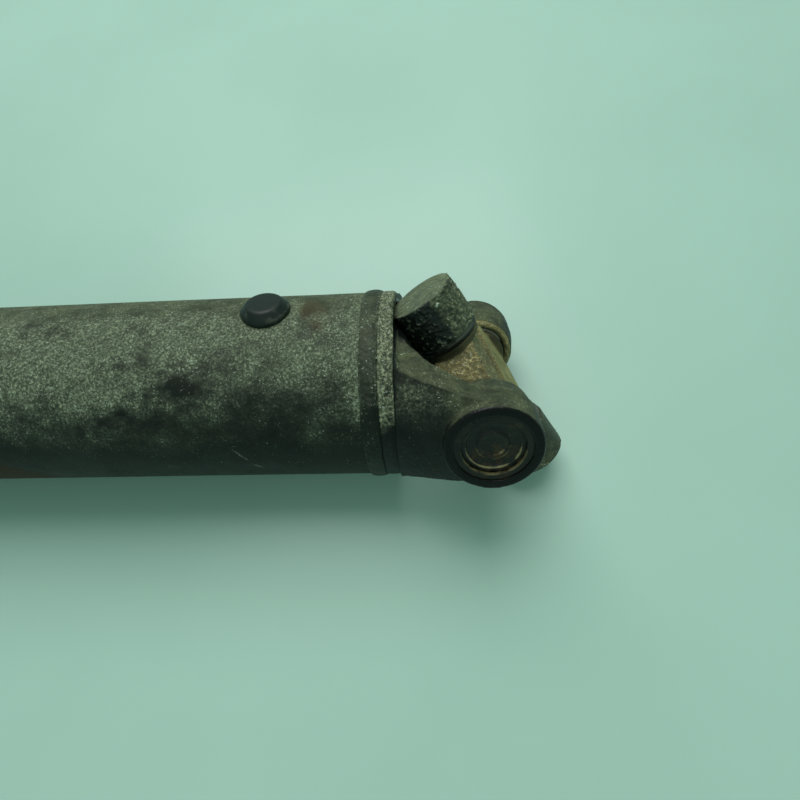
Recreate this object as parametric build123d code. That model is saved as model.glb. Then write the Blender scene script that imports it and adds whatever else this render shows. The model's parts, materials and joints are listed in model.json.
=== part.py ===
# Telescopic propeller shaft with a needle-bearing universal joint at each end.
# One end carries a bolted flange yoke, the other a bare cross whose two free
# bearing cups are strapped into the half-round saddles of a pinion yoke.
#
# Row frame: +X runs along the shaft from the flange face (x = 0) to the bare
# cross, +Z is up from the surface the shaft lies on.  The parts are drawn with
# the weld yoke's ears along Y and are then rolled about X by ROLL, the attitude
# in which the far ear and the lower free cup both reach the surface.
from build123d import *
from math import sin, cos, pi, radians, degrees, sqrt, atan2
import os

os.makedirs("parts", exist_ok=True)

# ---------------------------------------------------------------- dimensions
ROLL = 35.0            # deg, roll of the ear axis about the shaft axis
TILT = 33.0            # deg, bare cross leaned back to its stop at rest

FACE_TO_JOINT = 54.0   # flange face to front joint centre
JOINT_TO_JOINT = 494.0 # front joint centre to rear joint centre
XF = FACE_TO_JOINT
XR = FACE_TO_JOINT + JOINT_TO_JOINT

TUBE_R = 38.1          # 3.000 in tube
TUBE_WALL = 2.1        # 0.083 in wall
TUBE_RI = TUBE_R - TUBE_WALL
WELD_GAP = 5.0         # weld preparation between tube and shoulder ring
RING_R = 38.5          # shoulder ring of the weld yoke
RING_X0, RING_X1 = -40.5, -34.3   # from the joint centre
TUBE_END = RING_X0 - WELD_GAP     # tube end, from the rear joint centre
TUBE_LEN = 244.5
PILOT_LEN = 20.0

CUP_R = 13.5           # bearing cup, 1.0625 in
CUP_LEN = 18.5
SPAN = 46.0            # joint centre to cup end, 92 mm over the cups
CUP_FLOOR = 3.5
RACE_R = 11.95
NEEDLE_R = 1.08
NEEDLES = 28
NEEDLE_LEN = 11.6
TRUNNION_R = 9.75
TRUNNION_END = 40.95
SHOULDER_R = 12.2
SHOULDER_END = 24.2
OIL_R = 2.6            # grease drilling
NIPPLE_SEAT = 18.1     # start of the nipple's thread from the joint centre
WASHER_T = 1.45

EAR_OUT = 48.3         # machined ear face
EAR_IN = 26.5          # inner boss face
EAR_R = 17.6           # ear radius
EAR_FACE_R = 17.1      # radius of the machined face
BORE_R = CUP_R + 0.012
CLIP_GROOVE = (46.05, 47.65)
CLIP_GROOVE_R = 14.55
CLIP_T = 1.5
CLIP_RO, CLIP_RI = 14.4, 11.3

PLUG_X = XR - 83.2     # rubber plug position along the shaft
PLUG_ANG = 78.0        # deg from -Y towards +Z, before the roll
PLUG_HOLE_R = 7.0
PLUG_HEAD_R = 9.3
PLUG_TOP_R = 6.7
PLUG_H = 4.6

SPL_N = 16             # 16 tooth slip spline
SPL_RA, SPL_RF = 17.45, 15.55     # stub, over teeth and root
SPL_W = 3.2
SLV_RI, SLV_RG, SLV_W = 15.65, 17.60, 3.42   # sleeve bore, groove bottom, groove width
SLV_R = 26.0
SLV_END = 148.0        # sleeve end from the front joint centre
CORE_END = 44.0        # welch plug seat from the front joint centre

FLG_R = 49.2
FLG_T = 9.5
FLG_PCD = 79.4
FLG_HOLE_R = 5.1
PILOT_R = 28.575
PILOT_H = 2.5


# ---------------------------------------------------------------- helpers
def cyl(axis, a, b, r):
    """Cylinder of radius r from a to b along 'x', 'y' or 'z'."""
    c = Cylinder(r, abs(b - a))
    m = (a + b) / 2
    if axis == "x":
        return Pos(m, 0, 0) * Rot(0, 90, 0) * c
    if axis == "y":
        return Pos(0, m, 0) * Rot(90, 0, 0) * c
    return Pos(0, 0, m) * c


def along(vec, a, b, r):
    """Cylinder of radius r from a to b along a unit vector through the origin."""
    v = Vector(*vec).normalized()
    pl = Plane(origin=(v * ((a + b) / 2)), z_dir=v)
    return pl * Cylinder(r, abs(b - a))


def turned(pts):
    """Solid of revolution about X from (x, r) points."""
    w = Polyline(*[(x, r) for x, r in pts], close=True)
    return revolve(make_face(w), Axis.X, 360)


def ring(x0, x1, ro, ri):
    return turned([(x0, ri), (x1, ri), (x1, ro), (x0, ro)])


def one(shape):
    """The single largest solid of a shape."""
    ss = sorted(shape.solids(), key=lambda s: -s.volume)
    return ss[0]


PLACE = Rot(-ROLL, 0, 0)


def save(name, shape):
    s = shape.solids()
    placed = [PLACE * q for q in s]
    obj = placed[0] if len(placed) == 1 else Compound(children=placed)
    export_step(obj, f"parts/{name}.step")


# ---------------------------------------------------------------- yoke fork
def side_profile(top):
    """Face in XZ: the outline of a fork seen along its ear axis."""
    if top > 30:
        pts = [(RING_X1, top), (-32.7, 28.6), (-30.0, 25.6), (-26.0, 23.5), (-21.0, 22.0),
               (-16.0, 20.9), (-10.0, 19.4), (-5.0, 18.1), (0.0, EAR_R)]
    else:
        pts = [(RING_X1, top), (-26.1, 23.6), (-17.0, 21.4), (-8.3, 19.0), (0.0, EAR_R)]
    tan = (0.2, -1) if top > 30 else (1, -0.05)
    up = Spline(*[(x, z) for x, z in pts], tangents=(tan, (1, -0.1)))
    arc = ThreePointArc((0, EAR_R), (EAR_R, 0), (0, -EAR_R))
    lo = Spline(*[(x, -z) for x, z in reversed(pts)], tangents=((-1, -0.1), (-tan[0], tan[1])))
    base = Line((RING_X1, -top), (RING_X1, top))
    return make_face(Curve() + [up, arc, lo, base])


def prism_xz(face):
    """Extrude an XY-drawn face (x, z) so that its second axis is Z."""
    solid = extrude(face, amount=60, both=True)
    return Rot(90, 0, 0) * solid


def envelope():
    """Outer surface of the arms, turned about X."""
    w = Curve() + [
        Line((RING_X1, 0), (RING_X1, 39.2)),
        Line((RING_X1, 39.2), (-33.6, 39.9)),
        Spline((-33.6, 39.9), (-28.0, 41.6), (-22.0, 43.3), (-16.0, 45.0), (-10.6, 46.4),
               (-4.0, 47.4), (4.0, 47.7), (12.0, 47.3), (22.0, 45.8)),
        Line((22.0, 45.8), (22.0, 0)),
        Line((22.0, 0), (RING_X1, 0)),
    ]
    return revolve(make_face(w), Axis.X, 360)


def shallow_cavity():
    """Pocket of a yoke with a solid floor, turned about X."""
    w = Curve() + [
        Line((-41.0, 0), (-41.0, 19.0)),
        Spline((-41.0, 19.0), (-39.6, 26.0), (-36.5, 30.2), (-30.0, 33.8), (-22.0, 36.4),
               (-12.0, 38.4), (0.0, 39.2), tangents=((0.05, 1), (1, 0))),
        Line((0.0, 39.2), (60, 39.2)),
        Line((60, 39.2), (60, 0)),
        Line((60, 0), (-41.0, 0)),
    ]
    return revolve(make_face(w), Axis.X, 360)


def cavity():
    """The forged pocket between the arms, turned about X."""
    top = Spline((-41.0, 29.6), (-36.5, 32.4), (-30.0, 34.8), (-22.0, 36.8),
                 (-12.0, 38.5), (0.0, 39.2), tangents=((1, 0.72), (1, 0)))
    w = Curve() + [
        Line((-57.5, 0), (-57.5, 21.5)),
        ThreePointArc((-57.5, 21.5), (-56.6, 23.6), (-54.5, 24.6)),
        Line((-54.5, 24.6), (-47.0, 25.9)),
        Spline((-47.0, 25.9), (-44.0, 27.3), (-41.0, 29.6), tangents=((1, 0.17), (1, 0.72))),
        top,
        Line((0.0, 39.2), (60, 39.2)),
        Line((60, 39.2), (60, 0)),
        Line((60, 0), (-57.5, 0)),
    ]
    return revolve(make_face(w), Axis.X, 360)


def ears():
    """Both ears, turned about Y: inner boss face to machined outer face."""
    out = None
    for s in (1, -1):
        w = Polyline((0, EAR_IN), (15.6, EAR_IN), (16.4, EAR_IN + 0.8), (EAR_R, 36.0), (EAR_R, EAR_OUT - 1.0),
                     (EAR_FACE_R, EAR_OUT), (0, EAR_OUT), close=True)
        b = revolve(make_face(w), Axis.Y, 360)
        b = b if s == 1 else mirror(b, Plane.XZ)
        out = b if out is None else out + b
    return out


def ear_bores():
    cut = cyl("y", -60, 60, BORE_R)
    for s in (1, -1):
        cut += cyl("y", s * CLIP_GROOVE[0], s * CLIP_GROOVE[1], CLIP_GROOVE_R)
        # lead-in chamfer at the outer rim
        c = Cone(BORE_R, BORE_R + 0.45, 0.45, align=(Align.CENTER, Align.CENTER, Align.MIN))
        pl = Plane(origin=(0, s * (EAR_OUT - 0.45), 0), z_dir=(0, s, 0))
        cut += pl * c
    return cut


def fork(top, core, pocket, relief=True):
    """Fork with its ears along Y and its base towards -X, joint centre at 0."""
    body = (envelope() & prism_xz(side_profile(top))) - pocket
    body = body + ears()
    body = body + core
    body = body - ear_bores()
    if relief:
        for s in (1, -1):
            v = (-sin(radians(TILT)), 0, s * cos(radians(TILT)))
            body = body - along(v, 0, SPAN + 0.8, CUP_R + 0.8)
    return one(body)


# ---------------------------------------------------------------- joint parts
def cross_part(nipple=(1, -1)):
    """Cross with trunnions along Y and Z, drilled for grease."""
    c = None
    for ax in ("y", "z"):
        for s in (1, -1):
            t = cyl(ax, 0, s * SHOULDER_END, SHOULDER_R) + cyl(ax, 0, s * TRUNNION_END, TRUNNION_R)
            c = t if c is None else c + t
    # forged webs between the trunnions
    a, b = 11.2, 21.4
    w = Polyline((a, b), (b, a), (b, -a), (a, -b), (-a, -b), (-b, -a), (-b, a), (-a, b), close=True)
    web = extrude(make_face(w), amount=9.2, both=True)
    web = Rot(0, 90, 0) * web
    c = c + web
    # forged recess in the middle of both faces
    rec = extrude(RectangleRounded(9.0, 33.0, 4.0), amount=6)
    rec = Rot(0, 90, 0) * (Rot(0, 0, 45) * rec)
    c = c - Pos(8.6, 0, 0) * rec - Pos(-8.6 - 6, 0, 0) * rec
    # relief groove in the shoulder and chamfered trunnion ends
    for ax in ("y", "z"):
        for s in (1, -1):
            d = (0, s, 0) if ax == "y" else (0, 0, s)
            pl = Plane(origin=(d[0], d[1] * TRUNNION_END, d[2] * TRUNNION_END), z_dir=(d[0], -d[1], -d[2]))
            outer = Cylinder(TRUNNION_R + 2, 0.9, align=(Align.CENTER, Align.CENTER, Align.MIN))
            inner = Cone(TRUNNION_R - 0.8, TRUNNION_R + 0.1, 0.9, align=(Align.CENTER, Align.CENTER, Align.MIN))
            c = c - pl * (outer - inner)
        c = c - cyl(ax, -60, 60, OIL_R)
    # tapped seat for the grease nipple, in one quadrant
    d = Vector(0, nipple[0], nipple[1]).normalized()
    pl = Plane(origin=d * 8, z_dir=d)
    c = c - pl * Cylinder(3.0, 30, align=(Align.CENTER, Align.CENTER, Align.MIN))
    return one(c)


def nipple_part(seat, d):
    """Grease nipple with its thread, hexagon and ball head along d from seat."""
    v = Vector(*d).normalized()
    pl = Plane(origin=v * seat, z_dir=v)
    lo = (Align.CENTER, Align.CENTER, Align.MIN)
    n = Cylinder(2.95, 5.0, align=lo)
    hexa = extrude(RegularPolygon(4.6, 6), amount=3.4)
    n += Pos(0, 0, 5.0) * hexa
    n += Pos(0, 0, 8.4) * Cone(3.1, 1.9, 1.8, align=lo)
    n += Pos(0, 0, 10.2) * Cylinder(1.9, 1.0, align=lo)
    n += Pos(0, 0, 11.2) * Cone(2.9, 3.25, 0.9, align=lo)
    n += Pos(0, 0, 12.1) * Cone(3.25, 1.6, 1.9, align=lo)
    n -= Pos(0, 0, -1) * Cylinder(0.8, 16, align=lo)
    return pl * n


def cup_part():
    """Bearing cup along +Z, its closed end outwards."""
    w = Polyline((0, SPAN - CUP_FLOOR), (RACE_R, SPAN - CUP_FLOOR), (RACE_R, SPAN - CUP_LEN),
                 (CUP_R - 0.3, SPAN - CUP_LEN), (CUP_R, SPAN - CUP_LEN + 0.3),
                 (CUP_R, SPAN - 0.9), (CUP_R - 0.9, SPAN), (9.6, SPAN), (9.2, SPAN - 0.8),
                 (5.9, SPAN - 0.8), (5.6, SPAN - 0.25), (4.4, SPAN - 0.25), (4.1, SPAN - 0.8),
                 (0, SPAN - 0.8), close=True)
    f = Plane.XZ * make_face(w)
    return revolve(f, Axis.Z, 360)


def needles_part():
    rc = (TRUNNION_R + RACE_R) / 2
    z0 = SPAN - CUP_LEN + 1.5
    out = []
    for i in range(NEEDLES):
        a = 2 * pi * (i + 0.5) / NEEDLES
        out.append(Pos(rc * cos(a), rc * sin(a), z0 + NEEDLE_LEN / 2) * Cylinder(NEEDLE_R, NEEDLE_LEN))
    return Compound(children=out)


def washer_part():
    z = SPAN - CUP_FLOOR - 0.02
    a = Cylinder(9.6, WASHER_T) - Cylinder(OIL_R, 4)
    return Pos(0, 0, z - WASHER_T / 2) * a


def seal_part():
    """Lip seal pressed over the mouth of a cup."""
    m = SPAN - CUP_LEN
    w = Polyline((9.82, m + 0.9), (11.85, m + 0.9), (11.85, m - 0.05), (12.95, m - 0.05),
                 (12.95, m - 1.6), (12.3, m - 2.9), (10.4, m - 2.9), (10.0, m - 1.6), (9.82, m - 1.2), close=True)
    f = Plane.XZ * make_face(w)
    return revolve(f, Axis.Z, 360)


def clip_part(gap_deg, centre_deg):
    """Open snap ring lying in the groove of an ear along +Z."""
    z = CLIP_GROOVE[0] + 0.05
    lo = (Align.CENTER, Align.CENTER, Align.MIN)
    r = Cylinder(CLIP_RO, CLIP_T, align=lo) - Cylinder(CLIP_RI, CLIP_T, align=lo)
    h = radians(gap_deg / 2)
    wedge = Polyline((0, 0), (40 * cos(h), 40 * sin(h)), (40, 0), (40 * cos(h), -40 * sin(h)), close=True)
    r = r - extrude(make_face(wedge), amount=CLIP_T)
    rm = (CLIP_RO + CLIP_RI) / 2
    for s in (1, -1):
        r += Pos(rm * cos(h), s * rm * sin(h), 0) * Cylinder((CLIP_RO - CLIP_RI) / 2, CLIP_T, align=lo)
    return Pos(0, 0, z) * Rot(0, 0, centre_deg) * r


Y_POS = Rot(-90, 0, 0)   # +Z to +Y
Y_NEG = Rot(90, 0, 0)    # +Z to -Y
Z_POS = Rot(0, 0, 0)
Z_NEG = Rot(180, 0, 0)


def grp(*shapes):
    out = []
    for s in shapes:
        out += list(s.solids())
    return Compound(children=out)


# ================================================================ rear joint
AT_R = Pos(XR, 0, 0)
LEAN = Rot(0, -TILT, 0)      # leans +Z towards -X

# weld yoke: fork, shoulder ring and pilot that enters the tube
hub = turned([(TUBE_END - PILOT_LEN, 0), (TUBE_END - PILOT_LEN, TUBE_RI - 1.5), (TUBE_END - PILOT_LEN + 1.5, TUBE_RI - 0.02),
              (RING_X0, TUBE_RI - 0.02), (RING_X0, RING_R - 1.4), (RING_X0 + 0.45, RING_R - 0.4), (RING_X0 + 1.4, RING_R),
              (RING_X1 - 1.4, RING_R), (RING_X1 - 0.45, RING_R - 0.4), (RING_X1, RING_R - 1.4), (RING_X1, 0)])
hub_core = hub - cavity()
rear_yoke = fork(33.0, hub_core, cavity())
save("rear_weld_yoke", AT_R * rear_yoke)


def bead(x_ring, s):
    """Weld bead in the gap between a shoulder ring at x_ring and the tube."""
    x0 = x_ring
    x1 = x_ring - s * WELD_GAP
    m = (x0 + x1) / 2
    e = 1.1
    w = Curve() + [
        Line((x0, TUBE_RI - 0.02), (x0, RING_R - 1.4)),
        Line((x0, RING_R - 1.4), (x0 + s * 0.45, RING_R - 0.4)),
        ThreePointArc((x0 + s * 0.45, RING_R - 0.4), (m, TUBE_R + 1.25), (x1 - s * e, TUBE_R + 0.03)),
        Line((x1 - s * e, TUBE_R + 0.03), (x1, TUBE_R + 0.03)),
        Line((x1, TUBE_R + 0.03), (x1, TUBE_RI - 0.02)),
        Line((x1, TUBE_RI - 0.02), (x0, TUBE_RI - 0.02)),
    ]
    return revolve(make_face(w), Axis.X, 360)


save("rear_weld_bead", bead(XR + RING_X0, 1))

cross0 = cross_part()
save("rear_cross", AT_R * LEAN * cross0)
nip0 = nipple_part(NIPPLE_SEAT, (0, 1, -1))
save("rear_cross_grease_nipple", AT_R * LEAN * nip0)

cup, needles, washer, seal = cup_part(), needles_part(), washer_part(), seal_part()
save("rear_bearing_cup_near", AT_R * Y_NEG * cup)
save("rear_bearing_cup_far", AT_R * Y_POS * cup)
save("rear_free_cup_upper", AT_R * LEAN * Z_POS * cup)
save("rear_free_cup_lower", AT_R * LEAN * Z_NEG * cup)
save("rear_yoke_needles", grp(AT_R * Y_NEG * needles, AT_R * Y_POS * needles))
save("rear_upper_needles", AT_R * LEAN * needles)
save("rear_lower_needles", AT_R * LEAN * Z_NEG * needles)
save("rear_yoke_thrust_washers", grp(AT_R * Y_NEG * washer, AT_R * Y_POS * washer))
save("rear_upper_thrust_washer", AT_R * LEAN * washer)
save("rear_lower_thrust_washer", AT_R * LEAN * Z_NEG * washer)
save("rear_yoke_seals", grp(AT_R * Y_NEG * seal, AT_R * Y_POS * seal))
save("rear_upper_seal", AT_R * LEAN * seal)
save("rear_lower_seal", AT_R * LEAN * Z_NEG * seal)
save("rear_snap_rings", grp(AT_R * Y_NEG * clip_part(36, 112), AT_R * Y_POS * clip_part(42, 160)))

# ================================================================ tube
T1 = XR + TUBE_END
T0 = T1 - TUBE_LEN
tube = ring(T0, T1, TUBE_R, TUBE_RI)
pv = Vector(0, -cos(radians(PLUG_ANG)), sin(radians(PLUG_ANG)))
plug_pl = Plane(origin=(PLUG_X, 0, 0), x_dir=(1, 0, 0), z_dir=pv)
LO = (Align.CENTER, Align.CENTER, Align.MIN)
tube = tube - plug_pl * (Pos(0, 0, 20) * Cylinder(PLUG_HOLE_R, 30, align=LO))
save("tube", one(tube))

w = Polyline((0, 30.6), (4.6, 30.6), (5.6, 31.4), (8.2, 34.1), (8.2, 34.75), (PLUG_HOLE_R - 0.05, 34.9),
             (PLUG_HOLE_R - 0.05, 36.4), (PLUG_HEAD_R - 0.5, 36.4), (PLUG_HEAD_R, 36.9), (PLUG_HEAD_R, TUBE_R + 1.1),
             (PLUG_HEAD_R - 0.55, TUBE_R + 2.2), (PLUG_TOP_R + 0.8, TUBE_R + PLUG_H - 0.65),
             (PLUG_TOP_R - 0.4, TUBE_R + PLUG_H), (0, TUBE_R + PLUG_H), close=True)
plug = revolve(Plane.XZ * make_face(w), Axis.Z, 360)
# the head's underside follows the tube
saddle = Rot(0, 90, 0) * Cylinder(TUBE_R + 0.02, 60)
head_zone = Pos(0, 0, 35.6) * (Cylinder(30, 8, align=LO) - Cylinder(PLUG_HOLE_R - 0.05, 8, align=LO))
plug = plug - (head_zone & saddle)
save("tube_plug", plug_pl * one(plug))


def weight(x, ang, length, width, t=2.6):
    """Balance weight, a curved plate spot-welded on the tube."""
    a = ring(x - length / 2, x + length / 2, TUBE_R + 0.03 + t, TUBE_R + 0.03)
    v = Vector(0, -cos(radians(ang)), sin(radians(ang)))
    pl = Plane(origin=(x, 0, 0), x_dir=(1, 0, 0), z_dir=v)
    blk = pl * (Pos(0, 0, 20) * Box(length, width, 40, align=LO))
    a = a & blk
    for dx in (-length / 4, length / 4):
        a = a - pl * (Pos(dx, 0, TUBE_R + t - 0.5) * Cylinder(3.2, 6, align=LO))
    return one(a)


save("balance_weights", grp(weight(T0 + 24, 215, 34, 24), weight(T1 - 26, 252, 24, 24)))

# ================================================================ slip joint
# splined stub welded into the front end of the tube
S0 = T0 - WELD_GAP           # shoulder ring face towards the weld
END = XF + 66.0              # free end of the stub
stub = turned([(S0 + WELD_GAP + PILOT_LEN, 0), (S0 + WELD_GAP + PILOT_LEN, TUBE_RI - 1.5),
               (S0 + WELD_GAP + PILOT_LEN - 1.5, TUBE_RI - 0.02), (S0, TUBE_RI - 0.02),
               (S0, RING_R - 1.4), (S0 - 0.45, RING_R - 0.4), (S0 - 1.4, RING_R), (S0 - 5.0, RING_R), (S0 - 5.9, RING_R - 0.9),
               (S0 - 8.5, 33.0), (S0 - 13.0, 25.0), (S0 - 16.5, 21.6), (S0 - 18.5, 20.8), (S0 - 20.5, 20.4), (S0 - 20.5, SPL_RF),
               (END + 1.5, SPL_RF), (END, SPL_RF - 1.5), (END, 0)])
stub = stub - turned([(S0 + WELD_GAP + PILOT_LEN + 1, 0), (S0 + WELD_GAP + PILOT_LEN + 1, 26), (S0 + 6, 24), (S0 - 2, 14), (S0 - 4, 0)])
tooth = Pos((S0 - 20.5 + END) / 2, 0, (SPL_RA + 8) / 2) * Box(S0 - 20.5 - END, SPL_W, SPL_RA - 8)
teeth = tooth
for i in range(1, SPL_N):
    teeth = teeth + Rot(360 * i / SPL_N, 0, 0) * tooth
teeth = teeth & turned([(END, 0), (END, SPL_RA - 1.5), (END + 1.5, SPL_RA), (S0 - 20.4, SPL_RA), (S0 - 20.4, 0)])
stub = stub + teeth
save("spline_stub", one(stub))
save("front_weld_bead", bead(S0, -1))

# slip yoke: fork with ears along Y facing the flange, sleeve towards the tube
# (drawn towards -X like every fork, then turned end for end)
sleeve = turned([(RING_X1, 0), (RING_X1, 37.0), (RING_X1 - 1.0, 37.8), (RING_X1 - 3.0, 37.6), (-43, 34.5), (-50, 30.5),
                 (-58, 28.2), (-66, 27.2), (-128, 27.2), (-129, SLV_R), (-SLV_END + 1.0, SLV_R), (-SLV_END, SLV_R - 1.0), (-SLV_END, 0)])
slip = fork(33.0, sleeve - shallow_cavity(), shallow_cavity(), relief=False)
slip = slip - cyl("x", -CORE_END, -30, 20.2) - cyl("x", -SLV_END - 1, -CORE_END - 3.5, SLV_RI) - cyl("x", -CORE_END - 3.6, -CORE_END, 19.0)
groove = Pos(-(SLV_END + CORE_END + 8) / 2, 0, (SLV_RG + 8) / 2) * Box(SLV_END - CORE_END - 6, SLV_W, SLV_RG - 8)
grooves = groove
for i in range(1, SPL_N):
    grooves = grooves + Rot(360 * i / SPL_N, 0, 0) * groove
slip = slip - grooves
slip = slip - turned([(-SLV_END - 1, 0), (-SLV_END - 1, SLV_RG + 1.4), (-SLV_END + 1.4, SLV_RG + 0.2), (-SLV_END + 1.4, 0)])
# tapped seat for its grease nipple
slip = slip - (Pos(-96, 0, 15) * Cylinder(3.0, 14, align=LO))
slip = one(slip)
AT_F = Pos(XF, 0, 0)
FLIP = Rot(0, 180, 0)        # end for end, keeps the ears on Y
save("slip_yoke", AT_F * FLIP * slip)
wp = turned([(-CORE_END - 3.4, 0), (-CORE_END - 3.4, 18.95), (-CORE_END - 1.2, 18.95), (-CORE_END - 1.2, 17.5), (-CORE_END - 0.4, 9), (-CORE_END - 0.2, 0)])
save("slip_welch_plug", AT_F * FLIP * wp)
cap = turned([(-SLV_END + 14.0, SLV_R + 0.03), (-SLV_END + 14.0, 28.6), (-SLV_END + 13.0, 29.4), (-SLV_END - 5.0, 29.4),
              (-SLV_END - 6.0, 28.4), (-SLV_END - 6.0, 18.6), (-SLV_END - 4.4, 18.6), (-SLV_END - 4.4, 24.0), (-SLV_END - 0.02, 24.0),
              (-SLV_END - 0.02, SLV_R + 0.03)])
for i in range(12):
    a = 360 * i / 12
    cap = cap - Rot(a, 0, 0) * (Pos(-SLV_END + 4.0, 0, 30.4) * Box(19.0, 4.2, 3.0))
save("slip_dust_cap", AT_F * FLIP * one(cap))
save("slip_seal", AT_F * FLIP * ring(-SLV_END - 4.35, -SLV_END - 0.1, 23.95, SPL_RA + 0.1))
nipS = nipple_part(0, (0, 0, 1))
save("slip_grease_nipple", AT_F * FLIP * Pos(-96, 0, 22.6) * nipS)

# ================================================================ front joint
save("front_cross", AT_F * cross0)
save("front_cross_grease_nipple", AT_F * nip0)
save("front_slip_side_cups", grp(AT_F * Y_NEG * cup, AT_F * Y_POS * cup))
save("front_flange_side_cups", grp(AT_F * Z_POS * cup, AT_F * Z_NEG * cup))
save("front_slip_side_needles", grp(AT_F * Y_NEG * needles, AT_F * Y_POS * needles))
save("front_flange_side_needles", grp(AT_F * Z_POS * needles, AT_F * Z_NEG * needles))
save("front_slip_side_thrust_washers", grp(AT_F * Y_NEG * washer, AT_F * Y_POS * washer))
save("front_flange_side_thrust_washers", grp(AT_F * Z_POS * washer, AT_F * Z_NEG * washer))
save("front_slip_side_seals", grp(AT_F * Y_NEG * seal, AT_F * Y_POS * seal))
save("front_flange_side_seals", grp(AT_F * Z_POS * seal, AT_F * Z_NEG * seal))
save("front_slip_side_snap_rings", grp(AT_F * Y_NEG * clip_part(42, 70), AT_F * Y_POS * clip_part(42, 110)))
save("front_flange_side_snap_rings", grp(AT_F * Z_POS * clip_part(42, 40), AT_F * Z_NEG * clip_part(42, 140)))

# flange yoke: ears along Z, base towards the flange
flg = turned([(-FACE_TO_JOINT, 0), (-FACE_TO_JOINT, FLG_R - 0.8), (-FACE_TO_JOINT + 0.8, FLG_R), (-FACE_TO_JOINT + FLG_T - 0.8, FLG_R),
              (-FACE_TO_JOINT + FLG_T, FLG_R - 0.8), (-FACE_TO_JOINT + FLG_T, 31.5), (-40, 30.0), (-34.0, 30.0), (-34.0, 0)])
flg = flg + turned([(-FACE_TO_JOINT - PILOT_H, 0), (-FACE_TO_JOINT - PILOT_H, PILOT_R - 0.4), (-FACE_TO_JOINT - PILOT_H + 0.4, PILOT_R),
                    (-FACE_TO_JOINT + 1, PILOT_R), (-FACE_TO_JOINT + 1, 0)])
arm_base = prism_xz(make_face(Polyline((-50, -26), (-33, -26), (-33, 26), (-50, 26), close=True)))
arm_base = arm_base & cyl("x", -50, -33, 38.0)
core = flg + arm_base
core = core - shallow_cavity()
flange = fork(25.6, core, shallow_cavity(), relief=False)
flange = flange - cyl("x", -FACE_TO_JOINT - PILOT_H - 1, -FACE_TO_JOINT + 5.5, 20.0)
for i in range(4):
    a = radians(45 + 90 * i)
    y, z = FLG_PCD / 2 * cos(a), FLG_PCD / 2 * sin(a)
    flange = flange - Pos(-FACE_TO_JOINT - 1, y, z) * cyl("x", 0, 14, FLG_HOLE_R)
    flange = flange - Pos(-FACE_TO_JOINT + FLG_T, y, z) * cyl("x", 0, 22, 9.6)
flange = one(flange)
save("flange_yoke", AT_F * Rot(90, 0, 0) * flange)
print("joint centres", XF, XR, "tube", T0, T1)
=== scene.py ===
import json
import math
import bpy
import bmesh
import numpy as np
from mathutils import Matrix, Vector


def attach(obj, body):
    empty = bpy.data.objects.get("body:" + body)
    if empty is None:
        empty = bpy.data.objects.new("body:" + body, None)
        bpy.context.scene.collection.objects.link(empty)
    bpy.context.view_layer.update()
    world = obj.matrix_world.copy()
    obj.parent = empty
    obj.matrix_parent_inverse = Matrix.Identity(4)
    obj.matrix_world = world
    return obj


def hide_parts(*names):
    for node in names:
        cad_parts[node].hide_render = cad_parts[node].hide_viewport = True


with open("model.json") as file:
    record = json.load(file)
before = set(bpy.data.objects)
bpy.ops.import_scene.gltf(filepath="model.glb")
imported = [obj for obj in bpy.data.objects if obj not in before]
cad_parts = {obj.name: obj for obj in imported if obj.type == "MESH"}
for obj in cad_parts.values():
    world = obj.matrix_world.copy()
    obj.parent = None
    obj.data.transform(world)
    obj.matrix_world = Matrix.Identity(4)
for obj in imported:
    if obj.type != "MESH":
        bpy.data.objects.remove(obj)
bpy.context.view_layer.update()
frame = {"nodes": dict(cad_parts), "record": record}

NODES = frame["nodes"]
SC = bpy.context.scene

# ------------------------------------------------------------------ the shaft's own measures (mm)
ROLL = 35.0
TILT = 33.0
XF, XR = 54.0, 548.0
TUBE_R, TUBE_RI = 38.1, 36.0
RING_R = 38.5
T0, T1 = 258.0, 502.5
BODY = {n: b for b, ns in frame["record"]["behaviour"]["bodies"].items() for n in ns}
cR, sR = math.cos(math.radians(ROLL)), math.sin(math.radians(ROLL))


def row(P, x0=0.0):
    """Design millimetres (ears of the weld yoke along Y) to row metres. P is (n, 3)."""
    P = np.asarray(P, float)
    x, y, z = P[..., 0] + x0, P[..., 1], P[..., 2]
    return np.stack([x, y * cR + z * sR, -y * sR + z * cR], -1) * 0.001


def design(Q, x0=0.0):
    """Row metres to design millimetres."""
    Q = np.asarray(Q, float) * 1000.0
    x, y, z = Q[..., 0] - x0, Q[..., 1], Q[..., 2]
    return np.stack([x, y * cR - z * sR, y * sR + z * cR], -1)


# ------------------------------------------------------------------ numpy noise
_rng = np.random.RandomState(1234)
_perm = _rng.permutation(256)
_perm = np.concatenate([_perm, _perm, _perm])
_grad = _rng.normal(size=(256, 3))
_grad /= np.linalg.norm(_grad, axis=1)[:, None]


def perlin(P):
    """Gradient noise of (n, 3) points, about -0.7 to 0.7."""
    P = np.asarray(P, float)
    i = np.floor(P).astype(int)
    f = P - i
    i &= 255
    u = f * f * f * (f * (f * 6 - 15) + 10)
    out = 0.0
    for dx in (0, 1):
        wx = u[:, 0] if dx else 1 - u[:, 0]
        for dy in (0, 1):
            wy = u[:, 1] if dy else 1 - u[:, 1]
            for dz in (0, 1):
                wz = u[:, 2] if dz else 1 - u[:, 2]
                h = _perm[_perm[_perm[(i[:, 0] + dx) & 255] + ((i[:, 1] + dy) & 255)] + ((i[:, 2] + dz) & 255)]
                g = _grad[h]
                d = g[:, 0] * (f[:, 0] - dx) + g[:, 1] * (f[:, 1] - dy) + g[:, 2] * (f[:, 2] - dz)
                out = out + d * wx * wy * wz
    return out


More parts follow.
